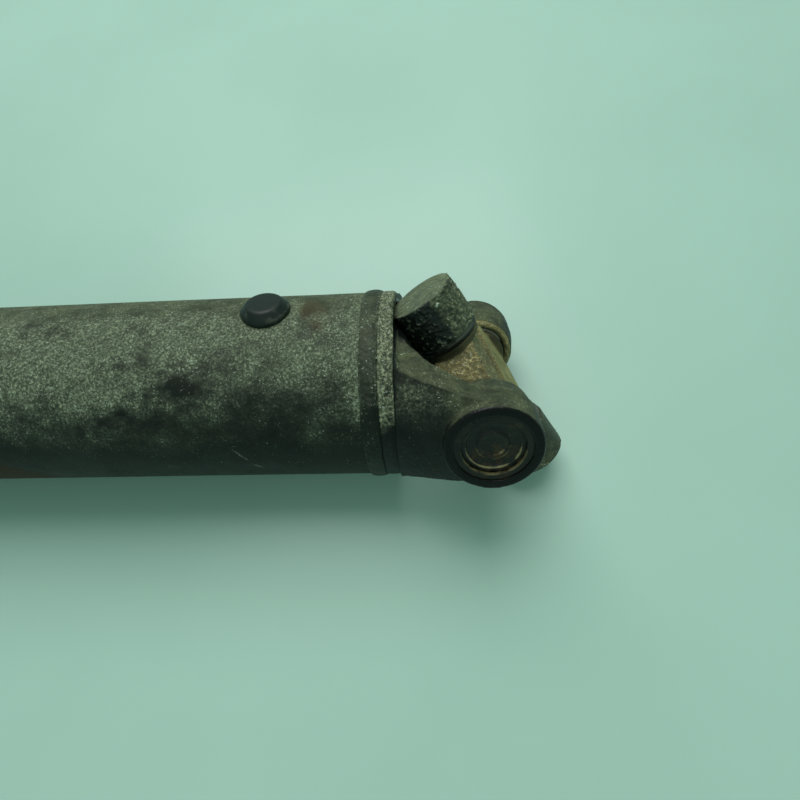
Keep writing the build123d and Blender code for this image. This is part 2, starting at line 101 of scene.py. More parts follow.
def fbm(P, scale, octaves=4, gain=0.5, seed=0.0):
    """Layered noise of millimetre points; scale is the size of the largest feature in mm."""
    P = np.asarray(P, float) / scale + seed * 17.31
    a, s, t = 1.0, 0.0, 0.0
    for _ in range(octaves):
        s = s + a * perlin(P)
        t += a
        a *= gain
        P = P * 2.03 + 5.17
    return s / t * 1.6


def smooth(a, b, x):
    t = np.clip((x - a) / (b - a), 0, 1)
    return t * t * (3 - 2 * t)


def bump1(x, c, w):
    """1 at c, falling to 0 at a distance of w."""
    return np.exp(-((x - c) / w) ** 2)


# ------------------------------------------------------------------ mesh helpers
def mesh_obj(name, V, F, body, replaces=(), attrs=None, sharp=None):
    """A mesh object from row-metre vertices, smooth shaded, riding on a body."""
    me = bpy.data.meshes.new(name)
    V = np.asarray(V, float)
    me.from_pydata(V.tolist(), [], F if isinstance(F, list) else F.tolist())
    me.validate()
    me.update()
    me.polygons.foreach_set("use_smooth", np.ones(len(me.polygons), bool))
    if attrs:
        for k, v in attrs.items():
            a = me.attributes.new(k, "FLOAT", "POINT")
            a.data.foreach_set("value", np.asarray(v, np.float32))
    ob = bpy.data.objects.new(name, me)
    SC.collection.objects.link(ob)
    if sharp:
        me.set_sharp_from_angle(angle=math.radians(sharp))
    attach(ob, body)
    if replaces:
        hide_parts(*replaces)
    return ob


def set_attr(ob, name, values):
    me = ob.data
    a = me.attributes.get(name) or me.attributes.new(name, "FLOAT", "POINT")
    a.data.foreach_set("value", np.clip(np.asarray(values, np.float32), -1, 4))


def coords(ob):
    co = np.empty(len(ob.data.vertices) * 3)
    ob.data.vertices.foreach_get("co", co)
    return co.reshape(-1, 3)


def normals(ob):
    no = np.empty(len(ob.data.vertices) * 3)
    ob.data.vertices.foreach_get("normal", no)
    return no.reshape(-1, 3)


def put(ob, co):
    ob.data.vertices.foreach_set("co", np.asarray(co, float).ravel())
    ob.data.update()


def forging(node, name, voxel=0.45, rounds=3):
    """A copy of a CAD node as one dense even skin, its corners slightly rounded as on a forging."""
    src = NODES[node]
    me = src.data.copy()
    ob = bpy.data.objects.new(name, me)
    SC.collection.objects.link(ob)
    bm = bmesh.new()
    bm.from_mesh(me)
    bmesh.ops.remove_doubles(bm, verts=bm.verts, dist=1e-6)
    bm.to_mesh(me)
    bm.free()
    me.materials.clear()
    m = ob.modifiers.new("skin", "REMESH")
    m.mode = "VOXEL"
    m.voxel_size = voxel * 0.001
    m.adaptivity = 0.0
    if rounds:
        s = ob.modifiers.new("round", "SMOOTH")
        s.factor = 0.5
        s.iterations = rounds
    dg = bpy.context.evaluated_depsgraph_get()
    new = bpy.data.meshes.new_from_object(ob.evaluated_get(dg))
    ob.modifiers.clear()
    old = ob.data
    ob.data = new
    bpy.data.meshes.remove(old)
    ob.data.polygons.foreach_set("use_smooth", np.ones(len(ob.data.polygons), bool))
    ob.data.update()
    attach(ob, BODY[node])
    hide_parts(node)
    return ob


def lathe(profile, segs, origin=(0, 0, 0), axis="x", closed=False):
    """Rings of (a, r) points turned about an axis: vertices in local mm, quads."""
    n = len(profile)
    ang = np.linspace(0, 2 * np.pi, segs, endpoint=False)
    V = np.zeros((n, segs, 3))
    for i, (a, r) in enumerate(profile):
        if axis == "x":
            V[i, :, 0] = a
            V[i, :, 1] = -r * np.cos(ang)
            V[i, :, 2] = r * np.sin(ang)
        else:
            V[i, :, 2] = a
            V[i, :, 0] = r * np.cos(ang)
            V[i, :, 1] = r * np.sin(ang)
    V = V.reshape(-1, 3) + np.array(origin)
    F = []
    rows = n if closed else n - 1
    j = np.arange(segs)
    k = (j + 1) % segs
    for i in range(rows):
        a, b = i * segs, ((i + 1) % n) * segs
        F.append(np.stack([a + j, a + k, b + k, b + j], 1))
    return V, np.concatenate(F)


# ------------------------------------------------------------------ shader helpers
def lin(r, g, b):
    out = []
    for c in (r, g, b):
        c /= 255.0
        out.append(c / 12.92 if c <= 0.04045 else ((c + 0.055) / 1.055) ** 2.4)
    return (*out, 1.0)


class Mat:
    """A small builder of node materials."""

    def __init__(self, name):
        self.m = bpy.data.materials.new(name)
        self.m.use_nodes = True
        self.t = self.m.node_tree
        self.t.nodes.clear()
        self.out = self.t.nodes.new("ShaderNodeOutputMaterial")
        self.b = self.t.nodes.new("ShaderNodeBsdfPrincipled")
        self.t.links.new(self.b.outputs[0], self.out.inputs["Surface"])
        self.tc = self.t.nodes.new("ShaderNodeTexCoord")
        self.P = self.tc.outputs["Object"]

    def link(self, a, b):
        self.t.links.new(a, b)

    def _in(self, sock, v):
        if hasattr(v, "is_output"):
            self.link(v, sock)
        else:
            sock.default_value = v

    def math(self, op, a, b=0.0, clamp=False):
        n = self.t.nodes.new("ShaderNodeMath")
        n.operation = op
        n.use_clamp = clamp
        self._in(n.inputs[0], a)
        self._in(n.inputs[1], b)
        return n.outputs[0]

    def step(self, x, lo, hi):
        """Smooth 0 to 1 as x goes from lo to hi."""
        n = self.t.nodes.new("ShaderNodeMapRange")
        n.interpolation_type = "SMOOTHSTEP"
        self._in(n.inputs["Value"], x)
        self._in(n.inputs["From Min"], lo)
        self._in(n.inputs["From Max"], hi)
        return n.outputs[0]

    def mix(self, f, a, b):
        n = self.t.nodes.new("ShaderNodeMix")
        n.data_type = "RGBA"
        self._in(n.inputs[0], f)
        self._in(n.inputs[6], a)
        self._in(n.inputs[7], b)
        return n.outputs[2]

    def mixf(self, f, a, b):
        n = self.t.nodes.new("ShaderNodeMix")
        n.data_type = "FLOAT"
        self._in(n.inputs[0], f)
        self._in(n.inputs[2], a)
        self._in(n.inputs[3], b)
        return n.outputs[0]

    def noise(self, scale, detail=4.0, rough=0.55, distort=0.0, vec=None, stretch=None, off=(0, 0, 0)):
        v = vec or self.P
        if stretch or any(off):
            mp = self.t.nodes.new("ShaderNodeMapping")
            mp.inputs["Scale"].default_value = stretch or (1, 1, 1)
            mp.inputs["Location"].default_value = off
            self.link(v, mp.inputs["Vector"])
            v = mp.outputs[0]
        n = self.t.nodes.new("ShaderNodeTexNoise")
        n.inputs["Scale"].default_value = scale
        n.inputs["Detail"].default_value = detail
        n.inputs["Roughness"].default_value = rough
        n.inputs["Distortion"].default_value = distort
        self.link(v, n.inputs["Vector"])
        return n.outputs[0]

    def voro(self, scale, feature="F1", vec=None, rand=1.0):
        n = self.t.nodes.new("ShaderNodeTexVoronoi")
        n.feature = feature
        n.inputs["Scale"].default_value = scale
        n.inputs["Randomness"].default_value = rand
        self.link(vec or self.P, n.inputs["Vector"])
        return n.outputs[0]

    def attr(self, name):
        n = self.t.nodes.new("ShaderNodeAttribute")
        n.attribute_type = "GEOMETRY"
        n.attribute_name = name
        return n.outputs["Fac"]

    def up(self):
        """How much the surface faces up where it lies, 0 to 1, fixed to the piece."""
        n = self.t.nodes.new("ShaderNodeVectorMath")
        n.operation = "DOT_PRODUCT"
        self.link(self.tc.outputs["Normal"], n.inputs[0])
        n.inputs[1].default_value = (0, 0, 1)
        return n.outputs["Value"]

    def bumpn(self, height, dist, strength=1.0, under=None):
        n = self.t.nodes.new("ShaderNodeBump")
        n.inputs["Strength"].default_value = strength
        n.inputs["Distance"].default_value = dist
        self.link(height, n.inputs["Height"])
        if under is not None:
            self.link(under, n.inputs["Normal"])
        return n.outputs[0]


DUST = lin(158, 169, 142)
DUST2 = lin(92, 102, 81)
FLECK = lin(190, 200, 184)
FILM = lin(99, 104, 76)


def grimy(name, base, base2, rough=0.5, metal=0.0, dust_and_highlight=None, dust_and_highlight_col=DUST, dustcol2=DUST2, grain=2100.0,
          dust_base=0.0, dust_up=0.0, rust_base=0.0, rustcol=lin(72, 57, 41), bump=0.00012, spec=0.5,
          scale=1.0, wear_and_glint=0.0, wear_glint_col=lin(120, 122, 115), crust=0.00025, speck=0.0, filmcol=None, fleck=0.95, base_film=0.55, grease_shade_col=lin(9, 11, 11)):
    """Dark metal under dust, rust and wear, with painted shade and painted highlights. The point values for dust, rust,
    grease and wear steer it where a mesh has them; the grease values also paint shade near-black into recesses and onto
    undersides, the wear values also paint glints, and the dust values also paint a highlight.
    """
    M = Mat(name)
    big = M.noise(28 * scale, 5, 0.6)
    mid = M.noise(120 * scale, 5, 0.6, off=(3.1, 1.7, 0.3))
    fine = M.noise(grain * scale, 3, 0.6)
    fine2 = M.noise(grain * 0.42 * scale, 4, 0.65, off=(0.3, 2.2, 5.1))
    tone = M.math("ADD", M.math("MULTIPLY", big, 0.55), M.math("MULTIPLY", mid, 0.45))
    col = M.mix(M.step(tone, 0.36, 0.64), base, base2)
    # dust: a thin film, grains whose density follows the amount, and a few pale flecks; on the cross the dust values
    # also carry a painted highlight
    amount = M.attr("dust_and_highlight")
    if dust_base or dust_up:
        upv = M.step(M.up(), -0.1, 0.95)
        amount = M.math("ADD", amount, M.math("ADD", dust_base, M.math("MULTIPLY", upv, dust_up)))
    amount = M.math("ADD", amount, M.math("MULTIPLY", M.math("SUBTRACT", mid, 0.5), M.math("MULTIPLY", M.step(amount, 0.0, 0.3), 1.1)))
    amount = M.math("ADD", amount, M.math("MULTIPLY", M.math("SUBTRACT", big, 0.5), 0.4), clamp=True)
    vein = M.noise(330 * scale, 4, 0.62, 1.6, off=(6.6, 2.9, 8.4))
    vein = M.step(M.math("ABSOLUTE", M.math("SUBTRACT", vein, 0.5)), 0.0, 0.11)
    amount = M.math("MULTIPLY", amount, M.math("ADD", 0.62, M.math("MULTIPLY", vein, 0.5)))
    g = M.math("ADD", M.math("MULTIPLY", fine, 0.55), M.math("MULTIPLY", fine2, 0.45))
    thr = M.math("SUBTRACT", 0.66, M.math("MULTIPLY", amount, 0.30))
    grains = M.step(M.math("SUBTRACT", g, thr), -0.05, 0.13)
    grains = M.math("MULTIPLY", grains, M.step(amount, 0.02, 0.25))
    film = M.math("MULTIPLY", amount, base_film)
    D = M.math("MAXIMUM", M.math("MULTIPLY", grains, M.math("ADD", 0.46, M.math("MULTIPLY", vein, 0.42))), film)
    fl = M.step(M.noise(grain * 0.58, 2, 0.5, 0.6, off=(9.1, 4.4, 2.0)), 0.635, 0.69)
    fl = M.math("MULTIPLY", fl, M.math("ADD", M.math("MULTIPLY", M.step(mid, 0.44, 0.6), speck * 0.45), M.math("MULTIPLY", M.step(amount, 0.10, 0.5), fleck)), clamp=True)
    dcol = M.mix(M.step(fine2, 0.38, 0.66), dustcol2, dust_and_highlight_col)
    # rust
    R = M.math("ADD", M.attr("rust"), rust_base)
    rn = M.noise(260 * scale, 5, 0.65, off=(7.7, 0.2, 3.3))
    Rm = M.step(M.math("ADD", R, M.math("SUBTRACT", rn, 0.62)), 0.0, 0.35)
    rc = M.mix(M.step(fine, 0.4, 0.65), rustcol, tuple(c * 0.45 for c in rustcol[:3]) + (1.0,))
    col = M.mix(M.math("MULTIPLY", Rm, 0.85), col, rc)
    # bare metal where it is rubbed, and painted highlights: bright glints where the wear values carry them
    wear_glint = M.attr("wear_and_glint")
    if wear_and_glint:
        wear_glint = M.math("ADD", wear_glint, M.math("MULTIPLY", M.step(M.noise(70 * scale, 6, 0.7, off=(1, 8, 2)), 0.58, 0.75), wear_and_glint))
    wear_glint_mask = M.math("MULTIPLY", M.step(M.math("ADD", wear_glint, M.math("MULTIPLY", M.math("SUBTRACT", fine2, 0.5), 0.9)), 0.25, 0.7), 1.0, clamp=True)
    col = M.mix(M.math("MULTIPLY", wear_glint_mask, 0.8), col, wear_glint_col)
    col = M.mix(D, col, dcol)
    filmcol = filmcol or FILM
    F = M.attr("film")
    F = M.math("MULTIPLY", F, M.math("ADD", 0.72, M.math("MULTIPLY", M.math("SUBTRACT", mid, 0.5), 1.6)), clamp=True)
    col = M.mix(F, col, M.mix(M.step(fine2, 0.3, 0.7), tuple(c * 0.72 for c in filmcol[:3]) + (1.0,), filmcol))
    col = M.mix(fl, col, FLECK)
    D = M.math("MAXIMUM", M.math("MAXIMUM", D, F), fl)
    # grease, and painted shade: near-black in recesses and on undersides
    grease_and_shade = M.attr("grease_and_shade")
    grease_shade_mask = M.math("MULTIPLY", M.step(M.math("ADD", grease_and_shade, M.math("MULTIPLY", M.math("SUBTRACT", mid, 0.5), 0.6)), 0.3, 0.6), 1.0, clamp=True)
    col = M.mix(M.math("MULTIPLY", grease_shade_mask, 0.9), col, grease_shade_col)
    M.link(col, M.b.inputs["Base Color"])
    rr = M.math("ADD", rough, M.math("MULTIPLY", M.math("SUBTRACT", mid, 0.5), 0.35))
    rr = M.mixf(D, rr, 0.93)
    rr = M.mixf(M.math("MULTIPLY", Rm, 0.8), rr, 0.85)
    rr = M.mixf(grease_shade_mask, rr, 0.30)
    M.link(rr, M.b.inputs["Roughness"])
    if metal:
        M.link(M.math("MULTIPLY", M.math("SUBTRACT", 1.0, M.math("MAXIMUM", D, M.math("MAXIMUM", Rm, grease_shade_mask))), metal), M.b.inputs["Metallic"])
    else:
        M.b.inputs["Metallic"].default_value = 0.0
    M.b.inputs["Specular IOR Level"].default_value = spec
    h = M.math("ADD", M.math("MULTIPLY", mid, 0.8), M.math("MULTIPLY", fine2, 0.35))
    n1 = M.bumpn(h, bump * 4, 0.6)
    h2 = M.math("ADD", M.math("MULTIPLY", D, 1.0), M.math("MULTIPLY", Rm, 0.5))
    n2 = M.bumpn(h2, crust, 0.7, under=n1)
    M.link(n2, M.b.inputs["Normal"])
    return M.m


def rubber(name, base, rough=0.55, dust_up=0.0, spec=0.45, grain=900.0):
    M = Mat(name)
    big = M.noise(45, 4, 0.5)
    mid = M.noise(240, 4, 0.55, off=(2, 1, 4))
    fine = M.noise(grain, 3, 0.6)
    col = M.mix(M.step(big, 0.35, 0.65), base, tuple(c * 1.45 for c in base[:3]) + (1.0,))
    upv = M.step(M.up(), 0.2, 1.0)
    a = M.math("MULTIPLY", upv, dust_up)
    a = M.math("ADD", a, M.attr("dust_and_highlight"))
    D = M.math("MULTIPLY", M.step(M.math("ADD", M.math("SUBTRACT", mid, 0.62), a), 0.0, 0.3), 0.5)
    s = M.math("MULTIPLY", M.step(fine, 0.68, 0.74), 0.35)
    D = M.math("MAXIMUM", D, M.math("MULTIPLY", s, M.step(a, 0.0, 0.2)))
    col = M.mix(D, col, lin(118, 122, 108))
    M.link(col, M.b.inputs["Base Color"])
    M.link(M.mixf(D, M.math("ADD", rough - 0.1, M.math("MULTIPLY", mid, 0.2)), 0.9), M.b.inputs["Roughness"])
    M.b.inputs["Specular IOR Level"].default_value = spec
    n1 = M.bumpn(mid, 0.00012, 0.35)
    M.link(M.bumpn(fine, 0.00006, 0.3, under=n1), M.b.inputs["Normal"])
    return M.m


def steel(name, base, rough=0.3, brushed=None, grease=0.2, metal=1.0):
    M = Mat(name)
    mid = M.noise(150, 5, 0.6)
    fine = M.noise(1400, 3, 0.6, stretch=brushed)
    col = M.mix(M.step(mid, 0.3, 0.7), base, tuple(c * 0.7 for c in base[:3]) + (1.0,))
    gm = M.math("MULTIPLY", M.step(M.noise(60, 5, 0.65, off=(4, 4, 1)), 0.62 - 0.3 * grease, 0.75 - 0.2 * grease), 0.8)
    col = M.mix(gm, col, lin(38, 34, 25))
    M.link(col, M.b.inputs["Base Color"])
    M.link(M.mixf(gm, M.math("ADD", rough - 0.08, M.math("MULTIPLY", fine, 0.2)), 0.4), M.b.inputs["Roughness"])
    M.link(M.math("MULTIPLY", M.math("SUBTRACT", 1.0, gm), metal), M.b.inputs["Metallic"])
    M.link(M.bumpn(fine, 0.00003, 0.5), M.b.inputs["Normal"])
    return M.m


MATS = {
    "tube": grimy("tube_paint", lin(9, 14, 11), lin(20, 26, 20), rough=0.55, speck=0.5, dust_up=0.0, rust_base=0.03, bump=0.00006, spec=0.24, grain=2500, fleck=0.5, base_film=0.62),
    "fork": grimy("fork_forging", lin(8, 14, 13), lin(18, 25, 23), rough=0.52, speck=0.35, bump=0.00012, spec=0.24, dust_and_highlight_col=lin(182, 188, 155), dustcol2=lin(100, 106, 82)),
    "weld": grimy("weld_metal", lin(8, 14, 10), lin(22, 31, 22), rough=0.46, speck=0.9, wear_and_glint=0.0, wear_glint_col=lin(58, 72, 56), bump=0.0002, spec=0.26),
    "cross": grimy("cross_forging", lin(50, 50, 34), lin(84, 82, 56), rough=0.7, speck=0.5, dust_and_highlight_col=lin(230, 214, 158), dustcol2=lin(140, 122, 82), filmcol=lin(174, 167, 114), bump=0.0002, crust=0.0005, rustcol=lin(80, 68, 42), spec=0.25),
    "cup": grimy("cup_steel", lin(20, 24, 20), lin(40, 45, 36), rough=0.42, metal=0.1, speck=0.4, dust_and_highlight_col=lin(176, 180, 140), dustcol2=lin(92, 96, 68), filmcol=lin(122, 133, 104), rustcol=lin(74, 66, 42), crust=0.0005, spec=0.36, grain=1400, grease_shade_col=lin(26, 31, 28), wear_glint_col=lin(120, 130, 108)),
    "bore": grimy("bore_steel", lin(6, 9, 9), lin(18, 19, 15), rough=0.36, metal=0.1, rust_base=0.02, speck=0.2, wear_glint_col=lin(150, 138, 98), rustcol=lin(70, 50, 28), spec=0.42),
    "clip": grimy("clip_steel", lin(12, 13, 11), lin(28, 26, 19), rough=0.34, metal=0.25, rust_base=0.03, wear_glint_col=lin(122, 114, 80), rustcol=lin(66, 50, 28)),
    "cap": grimy("cap_sheet", lin(16, 20, 17), lin(30, 34, 28), rough=0.45, dust_up=0.3, speck=0.3),
    "nipple": grimy("nipple_brass", lin(120, 98, 52), lin(88, 70, 38), rough=0.35, metal=0.8, dust_up=0.25, grain=2000),
    "plug": rubber("plug_rubber", lin(11, 24, 20), rough=0.48, dust_up=0.06, spec=0.4),
    "seal": rubber("seal_rubber", lin(16, 18, 14), rough=0.6, dust_up=0.55),
    "needle": steel("ground_steel", lin(176, 176, 172), 0.22, grease=0.45),
    "washer": rubber("washer_nylon", lin(150, 128, 82), rough=0.55, spec=0.4),
    "spline": steel("spline_steel", lin(120, 120, 114), 0.33, grease=0.6),
}


def dress(ob, key):
    ob.data.materials.clear()
    ob.data.materials.append(MATS[key])


def stub_mat():
    """Forged cone with bare greasy splines towards the slip yoke."""
    M = MATS["fork"].copy()
    M.name = "stub_forging"
    t = M.node_tree
    p = next(n for n in t.nodes if n.type == "BSDF_PRINCIPLED")
    tc = next(n for n in t.nodes if n.type == "TEX_COORD")
    sep = t.nodes.new("ShaderNodeSeparateXYZ")
    t.links.new(tc.outputs["Object"], sep.inputs[0])
    mr = t.nodes.new("ShaderNodeMapRange")
    mr.inputs["From Min"].default_value = 0.2335
    mr.inputs["From Max"].default_value = 0.2315
    t.links.new(sep.outputs["X"], mr.inputs["Value"])
    nz = t.nodes.new("ShaderNodeTexNoise")
    nz.inputs["Scale"].default_value = 160
    t.links.new(tc.outputs["Object"], nz.inputs["Vector"])
    mp = t.nodes.new("ShaderNodeMapRange")
    mp.inputs["From Min"].default_value = 0.35
    mp.inputs["From Max"].default_value = 0.6
    t.links.new(nz.outputs[0], mp.inputs["Value"])
    c2 = t.nodes.new("ShaderNodeMix")
    c2.data_type = "RGBA"
    c2.inputs[6].default_value = lin(44, 38, 26)
    c2.inputs[7].default_value = lin(128, 126, 116)
    t.links.new(mp.outputs[0], c2.inputs[0])
    for sock, val in (("Base Color", None), ("Metallic", 0.85), ("Roughness", 0.34)):
        old = p.inputs[sock].links[0].from_socket if p.inputs[sock].links else None
        mx = t.nodes.new("ShaderNodeMix")
        if sock == "Base Color":
            mx.data_type = "RGBA"
            t.links.new(old, mx.inputs[6])
            t.links.new(c2.outputs[2], mx.inputs[7])
            out = mx.outputs[2]
        else:
            if old is not None:
                t.links.new(old, mx.inputs[2])
            else:
                mx.inputs[2].default_value = p.inputs[sock].default_value
            mx.inputs[3].default_value = val
            out = mx.outputs[0]
        t.links.new(mr.outputs[0], mx.inputs[0])
        t.links.new(out, p.inputs[sock])
    return M


MATS["stub"] = stub_mat()

DRESS = {
    "rear_weld_yoke": "fork", "slip_yoke": "fork", "flange_yoke": "fork", "spline_stub": "stub", "tube": "tube",
    "rear_weld_bead": "weld", "front_weld_bead": "weld", "balance_weights": "cap", "tube_plug": "plug",
    "rear_cross": "cross", "front_cross": "cross", "slip_dust_cap": "cap", "slip_welch_plug": "cap",
}
for n, o in NODES.items():
    k = DRESS.get(n)
    if k is None:
        k = ("nipple" if "nipple" in n else "needle" if "needles" in n else "seal" if "seal" in n else "washer" if "washer" in n
             else "clip" if "snap" in n else "bore" if n in ("rear_bearing_cup_near", "rear_bearing_cup_far") else "cup")
    dress(o, k)


# ------------------------------------------------------------------ tube
def blob(x, t, cx, ct, rx, rt, amp):
    return amp * np.exp(-(((x - cx) / rx) ** 2 + ((t - ct) / rt) ** 2))


def make_tube():
    n = 380
    xs = np.linspace(T0, T1, n)
    prof = [(T0, TUBE_RI), (T0, TUBE_R - 0.3)] + [(x, TUBE_R) for x in np.linspace(T0 + 0.3, T1 - 0.3, n)] + [(T1, TUBE_R - 0.3), (T1, TUBE_RI)]
    prof += [(x, TUBE_RI) for x in np.linspace(T1 - 1, T0 + 1, 30)]
    V, F = lathe(prof, 420, closed=True)
    x = V[:, 0] - XR
    th = np.degrees(np.arctan2(V[:, 2], -V[:, 1]))
    r = np.hypot(V[:, 1], V[:, 2])
    outer = r > TUBE_R - 0.05
    # shallow dents, drawing lines and pitting
    h = 0.05 * fbm(np.stack([x, V[:, 1], V[:, 2]], 1), 40, 3, seed=2) + 0.018 * fbm(V, 3.0, 3, seed=3)
    for cx, ct, w, d in ((-178, 20, 7, 0.5), (-120, -70, 9, 0.6), (-66, 120, 6, 0.4), (-215, 70, 8, 0.45), (-150, 170, 10, 0.6), (-96, -14, 3.0, 0.12)):
        da = (th - ct + 180) % 360 - 180
        h -= d * np.exp(-(((x - cx) / w) ** 2 + (da * 0.665 / w) ** 2))
    k = np.where(outer, (r + h) / r, 1.0)
    V2 = V.copy()
    V2[:, 1] *= k
    V2[:, 2] *= k
    # where the dust lies
    wob = 6 * fbm(V, 30, 3, seed=5)
    wx, wt = x + wob, th + 1.5 * fbm(V, 26, 3, seed=6) * 6
    n18, n9 = fbm(V, 18, 3, seed=7), fbm(V, 9, 3, seed=14)
    lit = 1 - smooth(104, 150, wt)
    left = smooth(-92, -118, wx)
    d = left * (0.66 * smooth(4, 30, wt) * (1 - 0.62 * smooth(70, 84, wt)) + 0.16 * smooth(-12, 6, wt))
    d += (1 - left) * (0.46 * smooth(18, 44, wt) * (1 - 0.55 * smooth(66, 84, wt)) + 0.13 * smooth(2, 22, wt))
    d += 0.10 * smooth(-20, 10, wt)
    d *= lit * np.clip(1 + 0.9 * n18 + 0.85 * n9 + 0.8 * fbm(V * np.array([0.6, 1, 1]), 3.6, 4, seed=15), 0.08, 2.0)
    d += blob(wx, wt, -98, 59, 11, 11, 0.75) + blob(wx, wt, -140, 62, 22, 14, 0.16) + blob(wx, wt, -146, 34, 16, 9, 0.14)
    d -= blob(x, th, -113, 31, 11, 11, 0.62) + blob(wx, wt, -104, 38, 9, 8, 0.34) + blob(wx, wt, -84, 24, 12, 9, 0.2) + blob(wx, wt, -130, 12, 12, 6, 0.20) + blob(x, th, -66, 80, 7, 10, 0.42) + blob(wx, wt, -76, 82, 9, 8, 0.20)
    d += blob(wx, wt, -62, 4, 4, 9, 0.26) + blob(wx, wt, -70, 40, 9, 10, 0.12)
    d += blob(wx, wt, -262, 60, 24, 34, 0.25) + blob(wx, wt, -240, 20, 16, 16, 0.2)
    band = smooth(-61, -49, x + 3.5 * fbm(V, 8, 3, seed=8)) * smooth(0, 18, th + 6 * fbm(V, 9, 2, seed=9)) * (1 - smooth(96, 124, th))
    d += 0.62 * band * (0.30 + 0.70 * smooth(-54, -49, x)) * (1 + 0.8 * n9) + 0.75 * band * smooth(-49.0, -47.8, x)
    dp = np.hypot(x + 83.2, (th - 78) * 0.665)
    side = smooth(0.05, 0.75, ((x + 83.2) * 0.95 - (th - 78) * 0.665 * 0.3) / (dp + 1e-3))
    d += 0.95 * np.exp(-((dp - 10.8) / 2.4) ** 2) * side + blob(x, th, -71.5, 76, 2.4, 12, 0.8)
    rust = blob(wx, wt, -67, 80, 5.5, 9, 0.95) + blob(wx, wt, -62, 68, 5, 8, 0.35) + blob(wx, wt, -196, -40, 14, 18, 0.8) + blob(wx, wt, -230, 150, 16, 22, 0.8) + blob(wx, wt, -110, -120, 20, 14, 0.7)
    rust += 0.5 * smooth(0.35, 0.7, fbm(V, 34, 4, seed=11)) * (1 - smooth(-8, 34, wt))
    # scratches
    wear_and_glint = np.zeros(len(V))
    for (xa_, ta, xb_, tb, w, s) in ((-96.5, -9, -92.5, -18, 0.5, 1.1), (-92, -22, -86.5, -30, 0.6, 1.15), (-127, -22, -122, -26, 0.8, 0.7), (-112, -25, -108.5, -24, 0.5, 0.5),
                                     (-66, 5, -64.5, -6, 0.7, 0.55), (-64.8, -8, -65.4, -15, 0.6, 0.7), (-190, 40, -172, 30, 0.5, 0.6), (-222, -12, -210, -30, 0.6, 0.8), (-260, 95, -240, 110, 0.5, 0.7)):
        p = np.stack([x, th * 0.665], 1)
        a_, b_ = np.array([xa_, ta * 0.665]), np.array([xb_, tb * 0.665])
        t = np.clip(((p - a_) @ (b_ - a_)) / ((b_ - a_) @ (b_ - a_)), 0, 1)
        q = np.hypot(*(p - a_ - t[:, None] * (b_ - a_)).T) + 0.5 * np.abs(fbm(V, 2.0, 2, seed=12))
        wear_and_glint = np.maximum(wear_and_glint, s * (0.55 + 0.9 * fbm(V, 4.0, 3, seed=13)) * (1 - smooth(w * 0.3, w * 1.5, q)))
    # painted shade: near-black glossy patches on the lower side
    grease_and_shade = 0.25 * smooth(-20, -70, th)
    film = 0.46 * smooth(68, 88, th) * lit * (1 + 0.5 * n18) + 0.16 * smooth(20, 60, wt) * lit * (1 + n18)
    Vr = row(V2)
    ob = mesh_obj("tube_skin", Vr, F, "shaft", ["tube"], {"dust_and_highlight": d, "rust": rust, "wear_and_glint": wear_and_glint, "grease_and_shade": grease_and_shade, "film": film}, sharp=40)
    dress(ob, "tube")
    return ob


make_tube()


